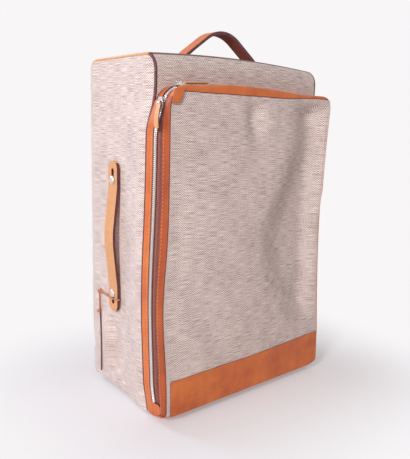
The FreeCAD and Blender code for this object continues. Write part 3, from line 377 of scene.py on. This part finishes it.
# Gusset: the leather strip round the body's mouth that carries the rear half of the zip.
# It is sewn to the body at its back edge, and its front edge is folded dark beside the teeth.
work = diced("rear_gusset", 9)
# Its last few millimetres at the back seam take the maroon, as the piping under the seam and as painted
# shade between the cloth and the strip.
seam_line = -0.0702
cut_across(work, (0, seam_line, 0), (0, 1, 0))
for face in work.faces:
    painted = face.normal.y < -0.7 or face.calc_center_median().y > seam_line
    face.material_index = 1 if painted else 0
overlap = 5.0
for vert in work.verts:
    hem = ease((1000 * vert.co.y + 79) / 11)
    outside = abs(vert.co.x) > 0.1685 and vert.co.z < 0.49
    over = Vector((math.copysign(hem, vert.co.x), overlap * hem, 0)) / 1000
    vert.co = settled(vert.co) + over * outside
piece_of("rear_gusset_leather", work, "case", "leather", leather, edge_paint_and_shade, stands_for=["rear_gusset"],
         round_edge=0.9)

work = diced("bottom_gusset", 12)
settle(work)
piece_of("bottom_gusset_leather", work, "case", "leather", leather, stands_for=["bottom_gusset"],
         round_edge=0.6)

# Hinge strip: a soft leather strip that joins the bottom gusset to the lid's foot and bends there.
work = diced("lid_hinge_strip", 5)
settle(work)
piece_of("hinge_strip_leather", work, "case", "leather", leather, stands_for=["lid_hinge_strip"])

# Lid: a lined board panel, a canvas front that has gone wavy, and a leather band across its foot.
# Leather runs round its edge and rolls over the front as a lip, with a patch at the top left corner.


def ripple(x, z):
    """How far the lid's cloth stands out of its plane, in millimetres, for a place on the lid."""
    loose = ease((158 - abs(x)) / 30) * ease((493 - z) / 24)
    crown = 11.0 * math.cos(math.pi * x / 330) * math.sin(math.pi * clamped((z - 30) / 470))
    waves = 0.7 * math.sin(x / 31 + z / 74) + 0.5 * math.sin(z / 43 - x / 90)
    dents = -10.0 * math.exp(-((x + 4) / 17) ** 2 - ((z - 468) / 34) ** 2)
    sway = 76 + 34 * math.cos((z - 440) / 55)
    dents -= 20.0 * ease((x - sway + 40) / 80) * ease((z - 90) / 60)
    fold = 2.6 * math.exp(-((x + 118 + (z - 150) * 0.5) / 20) ** 2 - ((z - 150) / 60) ** 2)
    return loose * (crown + waves + dents + fold)


def rolled(x, z):
    """How far the canvas rolls out over the lid's upper right edge, in millimetres."""
    return roll_width * ease((x - 120) / 38) * ease((z - 290) / 60)


roll_width, roll_thickness, border = 9.5, 1.6, 0.001
work = diced("lid_board", 12, "xz")
for vert in work.verts:
    x, _, z = 1000 * vert.co
    out = ripple(x - rolled(x, z), z)
    vert.co = settled(vert.co) + Vector((0, -out / 1000, 0))
piece_of("lid_lining_panel", work, "lid", "board", lining, stands_for=["lid_board"])

work = diced("lid_canvas", 6, "xz")
laid_out(work)
# A 1 mm border along its left and top edges takes the maroon: the lip's painted edge beside it, and painted
# shade where the canvas meets the lip.
low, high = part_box("lid_canvas")
cut_across(work, (low[0] + border, 0, 0), (1, 0, 0))
cut_across(work, (0, 0, high[2] - border), (0, 0, 1))
for face in work.faces:
    middle = face.calc_center_median()
    face.material_index = 1 if middle.x < low[0] + border or middle.z > high[2] - border else 0
for vert in work.verts:
    x, _, z = 1000 * vert.co
    roll = rolled(x, z)
    out = ripple(x, z) + roll_thickness * roll / roll_width
    vert.co.x += roll / 1000
    vert.co = settled(vert.co) + Vector((0, -out / 1000, 0))
lid_front = piece_of("lid_front_canvas", work, "lid", "canvas", canvas, edge_paint_and_shade,
                     stands_for=["lid_canvas"])

# Darker leather: a darker copy of the same tan leather, as painted shade, for the lid's strip where it
# runs down beside the zip at the left.
shaded_leather = leather.copy()
shaded_leather.name = "burnished_tan_leather"
ramp = [step for step in shaded_leather.node_tree.nodes if step.type == "VALTORGB"][0].color_ramp
ramp.elements[0].color = linear("#84310F")
ramp.elements[1].color = linear("#B75522")


def paint_edges(work, thin):
    """Puts the second material, edge paint, on the faces that don't look along the thin way."""
    for face in work.faces:
        face.material_index = 1 if abs(face.normal["xyz".index(thin)]) < 0.7 else 0


work = diced("lid_base_band", 8, "xz")
paint_edges(work, "y")
for vert in work.verts:
    out = ripple(1000 * vert.co.x, 1000 * vert.co.z) * ease((vert.co.z - 0.012) / 0.03)
    share = (vert.co.x + 0.156) / 0.312
    vert.co.z += (0.0055 * share - 0.0035) * ease((vert.co.z - 0.02) / 0.05)
    vert.co.x += 0.002 + 0.0035 * share
    vert.co = settled(vert.co) + Vector((0, -out / 1000, 0))
piece_of("lid_base_leather", work, "lid", "leather", leather, edge_paint_and_shade, stands_for=["lid_base_band"],
         round_edge=0.5)

work = diced("lid_gusset", 9)
lip_side, lip_under = 0.1606, 0.4956
cut_across(work, (lip_side, 0, 0), (1, 0, 0))
cut_across(work, (-lip_side, 0, 0), (1, 0, 0))
cut_across(work, (0, 0, lip_under), (0, 0, 1))
# The rim facing the zip takes edge paint, and so does the lip's inner edge over the canvas, partly as
# painted shade in the groove where the lip meets the canvas.
for face in work.faces:
    middle = face.calc_center_median()
    rim = face.normal.y > 0.7 and middle.y > -0.094
    inside = abs(middle.x) < lip_side and middle.z < lip_under and middle.y < -0.108
    # The strip down the left takes the darker copy of the leather, as painted shade.
    left_run = middle.x < -0.14 and middle.z < 0.488
    face.material_index = 1 if rim or inside else 2 if left_run else 0
settle(work)
piece_of("lid_gusset_leather", work, "lid", "leather", leather, edge_paint_and_shade, shaded_leather,
         stands_for=["lid_gusset"], round_edge=0.6)

work = diced("corner_patch", 5, "xz")
paint_edges(work, "y")
patch_top = 0.502
for vert in work.verts:
    vert.co.z = patch_top - 0.72 * (patch_top - vert.co.z)
    vert.co = settled(vert.co) - Vector((0, 0.0008, 0))
piece_of("corner_patch_leather", work, "lid", "leather", leather, edge_paint_and_shade, stands_for=["corner_patch"],
         round_edge=0.4)

# Zip: two cloth tapes sewn under the leather, a row of nickel teeth on each, two sliders with pulls,
# and a leather tab at each lower end. The teeth are clamped on the tape's beaded edge.

# Zip tape: reddish brown polyester herringbone tape, matt, with ribs along its length.
# The ribs are 0.6 mm and are drawn 1.5 mm so that they show.
tape_cloth, tree, shader = finish_named("brown_zip_tape", Roughness=0.85)
rib_width = 1.5
place = put(tree, "ShaderNodeTexCoord").outputs["Object"]
ribs = put(tree, "ShaderNodeTexWave", {"Vector": place, "Scale": 1000 / rib_width / 20, "Distortion": 0.6},
           bands_direction="Y")
fluff = put(tree, "ShaderNodeTexNoise", {"Vector": place, "Scale": 420.0, "Detail": 2.0})
blend = put(tree, "ShaderNodeMath", {0: ribs.outputs["Fac"], 1: 0.4, 2: fluff.outputs["Fac"]},
            operation="MULTIPLY_ADD")
shade = two_tones(tree, blend.outputs[0], "#5E2E2A", "#94564A", start=0.3, end=1.0)
relief = put(tree, "ShaderNodeBump", {"Height": blend.outputs[0], "Strength": 0.3, "Distance": 0.0003})
wire(tree, shader, Base_Color=shade, Normal=relief)

for name, body in (("rear_zip_tape", "case"), ("lid_zip_tape", "lid")):
    work = diced(name, 9)
    settle(work)
    piece_of(name + "_cloth", work, body, "zip_tape", tape_cloth, stands_for=[name])

# Nickel: plated zinc and brass, polished, with faint swirls that spread the highlight.
nickel, tree, shader = finish_named("polished_nickel", Metallic=1.0)
place = put(tree, "ShaderNodeTexCoord").outputs["Object"]
swirl = put(tree, "ShaderNodeTexNoise", {"Vector": place, "Scale": 700.0, "Detail": 3.0})
gloss = put(tree, "ShaderNodeMapRange", {"Value": swirl.outputs["Fac"], 1: 0.3, 2: 0.7, 3: 0.24, 4: 0.4})
shade = two_tones(tree, swirl.outputs["Fac"], "#D2CDC8", "#EBE7E2", start=0.25, end=0.75)
wire(tree, shader, Base_Color=shade, Roughness=gloss)
zip_metal = (("zip_slider_", "slider_", 1.25, 1.0), ("zip_link_", "pull_", 1.05, 0.25))
for side, out in (("left", (-0.002, 0, 0)), ("right", (0, 0, 0.002))):
    for kind, body, grown, proud in zip_metal:
        work = diced(kind + side, 60)
        low, high = [Vector(c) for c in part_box(kind + side)]
        middle = (low + high) / 2
        shift = settled(middle) - middle + proud * Vector(out)
        for vert in work.verts:
            vert.co = middle + grown * (vert.co - middle) + shift
        piece_of(kind + "metal_" + side, work, body + side, "nickel", nickel,
                 stands_for=[kind + side], round_edge=0.25)

# Tooth metal: nickel-plated brass, tumbled to a soft shine, with small dents.
tooth_metal, tree, shader = finish_named("tumbled_nickel", Metallic=1.0, Roughness=0.42)
place = put(tree, "ShaderNodeTexCoord").outputs["Object"]
knock = put(tree, "ShaderNodeTexNoise", {"Vector": place, "Scale": 900.0, "Detail": 2.0})
shade = two_tones(tree, knock.outputs["Fac"], "#E9DED8", "#FAF2EC")
wire(tree, shader, Base_Color=shade)

# One tree sets a small piece in a row along seam lines, turned to face out of the surface.
row_tree = bpy.data.node_groups.new("row_along_a_seam", "GeometryNodeTree")
row_tree.interface.new_socket("Seam", in_out="INPUT", socket_type="NodeSocketGeometry")
row_tree.interface.new_socket("Item", in_out="INPUT", socket_type="NodeSocketObject")
row_tree.interface.new_socket("Pitch", in_out="INPUT", socket_type="NodeSocketFloat")
row_tree.interface.new_socket("Size", in_out="INPUT", socket_type="NodeSocketVector")
row_tree.interface.new_socket("Finish", in_out="INPUT", socket_type="NodeSocketMaterial")
row_tree.interface.new_socket("Row", in_out="OUTPUT", socket_type="NodeSocketGeometry")
given = put(row_tree, "NodeGroupInput").outputs
line = put(row_tree, "GeometryNodeMeshToCurve", {0: given["Seam"]})
spots = put(row_tree, "GeometryNodeResampleCurve", {"Curve": line.outputs[0], "Length": given["Pitch"]},
            mode="LENGTH")
along = put(row_tree, "GeometryNodeInputTangent")
outward = put(row_tree, "GeometryNodeInputNamedAttribute", {"Name": "outward"}, data_type="FLOAT_VECTOR")
turned = put(row_tree, "FunctionNodeAlignRotationToVector", {"Vector": along.outputs[0]}, axis="X")
facing = put(row_tree, "FunctionNodeAlignRotationToVector",
             {"Rotation": turned.outputs[0], "Vector": outward.outputs[0]}, axis="Z", pivot_axis="X")
item = put(row_tree, "GeometryNodeObjectInfo", {"Object": given["Item"]})
row = put(row_tree, "GeometryNodeInstanceOnPoints",
          {"Points": spots.outputs[0], "Instance": item.outputs["Geometry"],
           "Rotation": facing.outputs[0], "Scale": given["Size"]})
real = put(row_tree, "GeometryNodeRealizeInstances", {0: row.outputs[0]})
painted = put(row_tree, "GeometryNodeSetMaterial",
              {"Geometry": real.outputs[0], "Material": given["Finish"]})
put(row_tree, "NodeGroupOutput", {0: painted.outputs[0]})


def row_of(name, seams, item, pitch, size, material, body, stands_for=()):
    """Sets items along seam lines, each a list of (place in metres, outward direction)."""
    mesh = bpy.data.meshes.new(name)
    spots = [spot for seam in seams for spot, _ in seam]
    edges, start = [], 0
    for seam in seams:
        edges += [(start + i, start + i + 1) for i in range(len(seam) - 1)]
        start += len(seam)
    mesh.from_pydata(spots, edges, [])
    outward = mesh.attributes.new("outward", "FLOAT_VECTOR", "POINT")
    for i, (_, way) in enumerate(pair for seam in seams for pair in seam):
        outward.data[i].vector = way
    guide = bpy.data.objects.new(name + "_guide", mesh)
    bpy.context.scene.collection.objects.link(guide)
    modifier = guide.modifiers.new("row", "NODES")
    modifier.node_group = row_tree
    for socket in row_tree.interface.items_tree:
        if socket.in_out == "INPUT" and socket.name != "Seam":
            modifier[socket.identifier] = {"Item": item, "Pitch": pitch / 1000, "Size": size,
                                           "Finish": material}[socket.name]
    drawn = bpy.data.meshes.new_from_object(guide.evaluated_get(bpy.context.evaluated_depsgraph_get()))
    bpy.data.objects.remove(guide)
    drawn.name = name
    made = bpy.data.objects.new(name, drawn)
    bpy.context.scene.collection.objects.link(made)
    drawn.shade_smooth()
    drawn.set_sharp_from_angle(angle=math.radians(40))
    if stands_for:
        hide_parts(*stands_for)
    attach(made, body)
    return made


def item_of(name, work):
    """A small mesh that a row repeats; it isn't part of the object and is removed at the end."""
    mesh = bpy.data.meshes.new(name)
    work.to_mesh(mesh)
    work.free()
    return bpy.data.objects.new(name, mesh)


def round_the_lid(inset, y, low, step=8.0):
    """Points up the left wall, round the two corners, across the top and down the right wall."""
    half, top, radius = lid_half - inset, lid_top - inset, lid_corner - inset
    spots = []
    rise = max(2, round((top - radius - low) / step))
    span = max(2, round(2 * (half - radius) / step))
    for i in range(rise):
        spots.append(((-half, y, low + (top - radius - low) * i / rise), (-1, 0, 0)))
    for i in range(9):
        turn = math.radians(90 * i / 9)
        spots.append(((-half + radius - radius * math.cos(turn), y, top - radius + radius * math.sin(turn)),
                      (-math.cos(turn), 0, math.sin(turn))))
    for i in range(span):
        spots.append(((-half + radius + 2 * (half - radius) * i / span, y, top), (0, 0, 1)))
    for i in range(9):
        turn = math.radians(90 * i / 9)
        spots.append(((half - radius + radius * math.sin(turn), y, top - radius + radius * math.cos(turn)),
                      (math.sin(turn), 0, math.cos(turn))))
    for i in range(rise + 1):
        spots.append(((half, y, top - radius - (top - radius - low) * i / rise), (1, 0, 0)))
    proud = [Vector(spot) + 1.3 * ease((465 - spot[2]) / 30) * Vector(way) for spot, way in spots]
    return [(settled(spot / 1000), way) for spot, (_, way) in zip(proud, spots)]


work = bmesh.new()
bmesh.ops.create_cube(work, size=1.0)
for vert in work.verts:
    if vert.co.y > 0:
        vert.co.x *= 0.62
bmesh.ops.bevel(work, geom=work.edges[:], offset=0.14, segments=1, affect="EDGES")
tooth = item_of("zip_tooth", work)
tooth_pitch = 2.7
tooth_inset, first_tooth = 2.8, 34
row_of("rear_zip_teeth_row", [round_the_lid(tooth_inset, -82.7, first_tooth)], tooth, tooth_pitch,
       (0.0021, 0.0034, 0.0034), tooth_metal, "case", ["rear_zip_teeth"])
row_of("lid_zip_teeth_row", [round_the_lid(tooth_inset, -86.3, first_tooth + tooth_pitch / 2)], tooth,
       tooth_pitch, (0.0021, -0.0034, 0.0034), tooth_metal, "lid", ["lid_zip_teeth"])

for side in ("left", "right"):
    work = diced("zip_end_tab_" + side, 5, "yz")
    paint_edges(work, "x")
    settle(work)
    piece_of("zip_end_leather_" + side, work, "case", "leather", leather, edge_paint_and_shade,
             stands_for=["zip_end_tab_" + side], round_edge=0.5)

# Pulls: a leather tab folded through each link, hanging against the gusset that bulges behind it.
for side in ("left", "right"):
    work = diced("zip_tab_" + side, 4)
    if side == "left":
        paint_edges(work, "x")
    for vert in work.verts:
        lift = Vector((0, 0, 0.002))
        if side == "left":
            hang = (0.47 - vert.co.z) / 0.044
            lift = Vector((-0.0026, -0.006 - 0.006 * hang, 0.009 + 0.009 * hang))
        vert.co = settled(vert.co) + lift
    piece_of("zip_pull_leather_" + side, work, "pull_" + side, "leather", natural_leather, edge_paint_and_shade,
             stands_for=["zip_tab_" + side], round_edge=0.4)

# Top handle: a doubled leather strap arched over the top, with its ends riveted through the board.
# Flesh side: the rough back of the strap, left unwaxed, in a dark red brown that is partly its dye and
# partly painted shade under the arch.
flesh_and_shade, tree, shader = finish_named("underside_leather_and_shade", Roughness=0.8)
place = put(tree, "ShaderNodeTexCoord").outputs["Object"]
nap = put(tree, "ShaderNodeTexNoise", {"Vector": place, "Scale": 320.0, "Detail": 4.0})
shade = two_tones(tree, nap.outputs["Fac"], "#5E261C", "#8E4630")
wire(tree, shader, Base_Color=shade)
work = diced("top_handle_strap", 6)
# The underside of the arch takes the dark red brown, partly as painted shade.
for face in work.faces:
    under = face.normal.z < -0.15 and face.calc_center_median().z > 0.55
    face.material_index = 1 if abs(face.normal.y) > 0.7 else 2 if under else 0
for vert in work.verts:
    lean = ease((1000 * vert.co.z - 549) / 12)
    vert.co.x += (0.005 - 0.04 * vert.co.x) * lean
    vert.co.y -= 0.008 * lean
    vert.co.z -= 0.0034 * ease((1000 * vert.co.z - 560) / 40)
piece_of("top_handle_leather", work, "case", "leather", leather, edge_paint_and_shade, flesh_and_shade,
         stands_for=["top_handle_strap"], round_edge=0.7)
dress(nickel, "top_handle_rivets", "foot_screws", "wheel_axles")

# Side handle: a leather strap with a slot at each end, buttoned over two nickel studs.
# The studs go through the left panel and its board, with a washer behind.
work = diced("side_handle_strap", 6)
for face in work.faces:
    face.material_index = 1 if abs(face.normal.y) > 0.7 else 0
piece_of("side_handle_leather", work, "case", "leather", natural_leather, edge_paint_and_shade,
         stands_for=["side_handle_strap"], round_edge=0.7)
dress(nickel, "side_handle_studs", "stud_washers")

# Stitches: waxed linen thread along the two gussets, one row on the body and one on the lid.
# The real stitch is 2.5 mm long and is drawn 3.4 mm with a thicker thread so that it shows.
linen, tree, shader = finish_named("waxed_linen_thread", Roughness=0.6)
place = put(tree, "ShaderNodeTexCoord").outputs["Object"]
twist = put(tree, "ShaderNodeTexNoise", {"Vector": place, "Scale": 900.0, "Detail": 2.0})
shade = two_tones(tree, twist.outputs["Fac"], "#C08A5E", "#E6BE93")
wire(tree, shader, Base_Color=shade)

work = bmesh.new()
bmesh.ops.create_icosphere(work, subdivisions=1, radius=0.5)
stitch = item_of("stitch", work)
stitch_pitch, stitch_size = 5.5, (0.0034, 0.0008, 0.0008)
row_of("body_gusset_stitches", [round_the_lid(1.2, -76.6, 24)], stitch, stitch_pitch, stitch_size,
       linen, "case")
row_of("lid_gusset_stitches", [round_the_lid(1.2, -102.6, 24)], stitch, stitch_pitch, stitch_size,
       linen, "lid")

# Lace: a thin leather thong tied round the side handle, with two knots and a tail that hangs free.
# The tie is tan; the tail is dark below the lower knot and turns tan above it.
lace_tan, tree, shader = finish_named("tan_lace_leather", Roughness=0.55)
place = put(tree, "ShaderNodeTexCoord").outputs["Object"]
wear = put(tree, "ShaderNodeTexNoise", {"Vector": place, "Scale": 240.0, "Detail": 4.0})
shade = two_tones(tree, wear.outputs["Fac"], "#8E4A2C", "#DA935F")
relief = put(tree, "ShaderNodeBump", {"Height": wear.outputs["Fac"], "Strength": 0.2, "Distance": 0.0003})
wire(tree, shader, Base_Color=shade, Normal=relief)
lace_dark, tree, shader = finish_named("dark_lace_leather", Roughness=0.6)
place = put(tree, "ShaderNodeTexCoord").outputs["Object"]
wear = put(tree, "ShaderNodeTexNoise", {"Vector": place, "Scale": 240.0, "Detail": 4.0})
shade = two_tones(tree, wear.outputs["Fac"], "#4E2A2A", "#87534A")
parts = put(tree, "ShaderNodeSeparateXYZ", {0: place})
tan_above = put(tree, "ShaderNodeMapRange", {"Value": parts.outputs[2], 1: 0.128, 2: 0.138})
toned = put(tree, "ShaderNodeMix", {"Factor": tan_above.outputs[0]}, data_type="RGBA")
tree.links.new(shade.outputs[0], toned.inputs[6])
toned.inputs[7].default_value = linear("#B86F45")
tree.links.new(toned.outputs[2], shader.inputs["Base Color"])

thong = 0.0013
tail_route = [(-0.1799, 0.082, 0.1684), (-0.1794, 0.0833, 0.1503), (-0.178, 0.084, 0.1322),
              (-0.1776, 0.0824, 0.1075), (-0.1777, 0.0816, 0.0785), (-0.1775, 0.0816, 0.051),
              (-0.1777, 0.0824, 0.0234)]
loop_route = [(-0.1799, 0.081, 0.1664), (-0.1774, 0.0453, 0.1684), (-0.1774, 0.0164, 0.1694),
              (-0.1853, 0.0164, 0.1694), (-0.1853, 0.0453, 0.1684), (-0.1799, 0.081, 0.1704)]


def thong_along(name, route, material, radius):
    """A round thong on a smooth curve that has the route's points as its control points."""
    curve = bpy.data.curves.new(name, "CURVE")
    curve.dimensions = "3D"
    curve.bevel_depth = radius
    curve.bevel_resolution = 4
    curve.resolution_u = 8
    curve.use_fill_caps = True
    run = curve.splines.new("NURBS")
    run.points.add(len(route) - 1)
    for point, spot in zip(run.points, route):
        point.co = (*spot, 1)
    run.order_u = 3
    run.use_endpoint_u = True
    curve.materials.append(material)
    made = bpy.data.objects.new(name, curve)
    bpy.context.scene.collection.objects.link(made)
    return made


def knot_at(name, centre):
    """Two turns of thong round the tail, as a tight knot."""
    turns = [(centre[0] + 0.0024 * math.cos(a), centre[1] + 0.0024 * math.sin(a), centre[2] + rise)
             for a, rise in [(i * math.pi / 4, -0.0026 + 0.0003 * i) for i in range(18)]]
    return thong_along(name, turns, lace_tan, 0.0014)


tail = thong_along("lace_tail_thong", tail_route, lace_dark, thong)
loop = thong_along("lace_loop_thong", loop_route, lace_tan, thong)
upper_knot = knot_at("lace_upper_tie", (-0.1799, 0.082, 0.1684))
lower_knot = knot_at("lace_lower_tie", (-0.1799, 0.084, 0.1322))
for made, name in ((tail, "lace_tail"), (loop, "lace_loop"), (upper_knot, "lace_upper_knot"),
                   (lower_knot, "lace_lower_knot")):
    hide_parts(name)
    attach(made, "case")

# Wheels and feet: moulded housings screwed under the rear corners, hubs with soft tyres on steel axles,
# and two rubber feet at the front.


def moulded_abs(name, dark, pale, specular, smooth, rough):
    """Injection moulded ABS with a fine spark texture, in two tones and between two roughnesses."""
    material, tree, shader = finish_named(name, Specular_IOR_Level=specular)
    place = put(tree, "ShaderNodeTexCoord").outputs["Object"]
    spark = put(tree, "ShaderNodeTexNoise", {"Vector": place, "Scale": 1000 / spark_width, "Detail": 2.0})
    height = spark.outputs["Fac"]
    shade = two_tones(tree, height, dark, pale)
    gloss = put(tree, "ShaderNodeMapRange", {"Value": height, 1: 0.3, 2: 0.7, 3: smooth, 4: rough})
    relief = put(tree, "ShaderNodeBump", {"Height": height, "Strength": 0.15, "Distance": 0.0002})
    wire(tree, shader, Base_Color=shade, Roughness=gloss, Normal=relief)
    return material


# Stone ABS: as pale as the canvas beside it. Its spark texture is 0.3 mm, drawn 0.8 mm so that it shows.
spark_width = 0.8
stone_abs = moulded_abs("stone_abs", "#BDB1AA", "#D3C8C1", 0.4, 0.45, 0.65)
dress(stone_abs, "wheel_housing_left", "wheel_housing_right")

# Black ABS: satin from the same texture, for the fittings of the pull handle.
black_abs = moulded_abs("spark_textured_abs", "#1C1A1A", "#33302F", 0.5, 0.4, 0.6)
dress(black_abs, "trolley_bezel", "trolley_bracket", "trolley_grip",
      "trolley_middle_plugs", "release_button")

# Grey nylon: injection moulded hubs, satin, with faint flow marks.
grey_nylon, tree, shader = finish_named("grey_nylon", Roughness=0.45)
place = put(tree, "ShaderNodeTexCoord").outputs["Object"]
flow = put(tree, "ShaderNodeTexNoise", {"Vector": place, "Scale": 130.0, "Detail": 3.0})
shade = two_tones(tree, flow.outputs["Fac"], "#5B5858", "#74706E")
wire(tree, shader, Base_Color=shade)
dress(grey_nylon, "wheel_hub_left", "wheel_hub_right")

# Rubber: moulded black tyres and feet, matt, with pale dust caught in the surface.
rubber, tree, shader = finish_named("moulded_rubber", Roughness=0.8, Specular_IOR_Level=0.3)
place = put(tree, "ShaderNodeTexCoord").outputs["Object"]
dust = put(tree, "ShaderNodeTexNoise", {"Vector": place, "Scale": 300.0, "Detail": 5.0})
shade = two_tones(tree, dust.outputs["Fac"], "#191818", "#38322F")
wire(tree, shader, Base_Color=shade)
dress(rubber, "wheel_tyre_left", "wheel_tyre_right", "front_feet")

# Pull handle: aluminium tubes in three stages behind the divider, with a moulded grip and button.

# Anodised aluminium: drawn tube, satin, with draw lines along its length.
# The lines are 0.1 mm and are drawn 0.5 mm so that they show.
aluminium, tree, shader = finish_named("anodised_aluminium", Metallic=1.0)
place = put(tree, "ShaderNodeTexCoord").outputs["Object"]
lengthwise = put(tree, "ShaderNodeMapping", {"Vector": place, "Scale": (2000.0, 2000.0, 12.0)})
draw = put(tree, "ShaderNodeTexNoise", {"Vector": lengthwise.outputs[0], "Scale": 1.0, "Detail": 2.0})
shade = two_tones(tree, draw.outputs["Fac"], "#A7A9AB", "#C9CBCC")
gloss = put(tree, "ShaderNodeMapRange", {"Value": draw.outputs["Fac"], 1: 0.3, 2: 0.7, 3: 0.28, 4: 0.42})
wire(tree, shader, Base_Color=shade, Roughness=gloss)
dress(aluminium, "trolley_outer_tubes", "trolley_middle_tubes", "trolley_inner_tubes")

for item in (tooth, stitch):
    bpy.data.objects.remove(item)

# Studio: a pale floor that fades into a white background, and a dim white surround. The main lamp
# stands at the left front, and a weaker, cooler one behind lights the top and the rear edges.


def direct_rays(tree):
    """1 for the rays that show the studio itself, straight or in a reflection, and 0 for its light."""
    ray = put(tree, "ShaderNodeLightPath")
    seen = put(tree, "ShaderNodeMath", {0: ray.outputs["Is Camera Ray"], 1: ray.outputs["Is Glossy Ray"]},
               operation="MAXIMUM")
    through = put(tree, "ShaderNodeMath", {0: seen.outputs[0], 1: ray.outputs["Is Transmission Ray"]},
                  operation="MAXIMUM")
    return through.outputs[0]


backdrop = linear("#F8F6F7")
floor_size = 6.0
mesh = bpy.data.meshes.new("studio_floor")
mesh.from_pydata([(-floor_size, -floor_size, 0), (floor_size, -floor_size, 0), (floor_size, floor_size, 0),
                  (-floor_size, floor_size, 0)], [], [(0, 1, 2, 3)])
floor = bpy.data.objects.new("studio_floor", mesh)
bpy.context.scene.collection.objects.link(floor)
paper, tree, shader = finish_named("studio_paper", Roughness=0.9, Base_Color=linear("#E9E1E1"))
place = put(tree, "ShaderNodeTexCoord").outputs["Object"]
mirrored = put(tree, "ShaderNodeVectorMath", {0: place}, operation="ABSOLUTE")
beyond = put(tree, "ShaderNodeVectorMath", {0: mirrored.outputs[0], 1: (0.17, 0.11, 0.0)},
             operation="SUBTRACT")
outside = put(tree, "ShaderNodeVectorMath", {0: beyond.outputs[0], 1: (0.0, 0.0, 0.0)},
              operation="MAXIMUM")
reach = put(tree, "ShaderNodeVectorMath", {0: outside.outputs[0]}, operation="LENGTH")
fade = put(tree, "ShaderNodeMapRange", {"Value": reach.outputs["Value"], 1: 0.0, 2: 0.3, 3: 0.3},
           interpolation_type="SMOOTHSTEP")
share = put(tree, "ShaderNodeMath", {0: fade.outputs[0], 1: direct_rays(tree)}, operation="MULTIPLY")
glow = put(tree, "ShaderNodeEmission", {"Color": backdrop, "Strength": 1.0})
mix = put(tree, "ShaderNodeMixShader", {0: share.outputs[0], 1: shader.outputs[0], 2: glow.outputs[0]})
tree.links.new(mix.outputs[0], tree.nodes["Material Output"].inputs["Surface"])
mesh.materials.append(paper)

world = bpy.data.worlds.new("studio_surround")
world.use_nodes = True
bpy.context.scene.world = world
tree = world.node_tree
surround = put(tree, "ShaderNodeBackground", {"Color": linear("#F6F1EE"), "Strength": 0.4})
white = put(tree, "ShaderNodeBackground", {"Color": backdrop, "Strength": 1.0})
mix = put(tree, "ShaderNodeMixShader", {0: direct_rays(tree), 1: surround.outputs[0], 2: white.outputs[0]})
tree.links.new(mix.outputs[0], tree.nodes["World Output"].inputs["Surface"])

for name, spot, aim, size, power, colour in (
        ("back_light", (-1.0, 2.0, 1.7), (-0.1, 0.0, 0.28), 1.0, 24, "#CFE4FF"),
        ("main_light", (-2.4, -1.25, 1.5), (0.0, 0.0, 0.28), 0.7, 75, "#EFF4FB")):
    lamp = bpy.data.lights.new(name, "AREA")
    lamp.shape = "DISK"
    lamp.size = size
    lamp.energy = power
    lamp.color = linear(colour)[:3]
    lit = bpy.data.objects.new(name, lamp)
    lit.location = spot
    lit.rotation_euler = (Vector(aim) - Vector(spot)).to_track_quat("-Z", "Y").to_euler()
    bpy.context.scene.collection.objects.link(lit)

# Camera: at the photograph's height and turn, with its lens. The focal length and the picture's
# height are in pixels.
focal_length, picture_height = 559.4, 459
yaw, pitch, roll = math.radians(40.14), math.radians(10.57), math.radians(1.49)
ahead = Vector((math.sin(yaw) * math.cos(pitch), math.cos(yaw) * math.cos(pitch), -math.sin(pitch)))
level = Vector((math.cos(yaw), -math.sin(yaw), 0))
above = level.cross(ahead)
across = math.cos(roll) * level + math.sin(roll) * above
upward = -math.sin(roll) * level + math.cos(roll) * above
lens = bpy.data.cameras.new("photo_camera")
lens.sensor_width = 36
lens.lens = lens.sensor_width * focal_length / picture_height
camera = bpy.data.objects.new("photo_camera", lens)
turn = Matrix((across, upward, -ahead)).transposed().to_4x4()
camera.matrix_world = Matrix.Translation((-0.637, -0.735, 0.451)) @ turn
bpy.context.scene.collection.objects.link(camera)
bpy.context.scene.camera = camera
bpy.context.scene.view_settings.view_transform = "Standard"
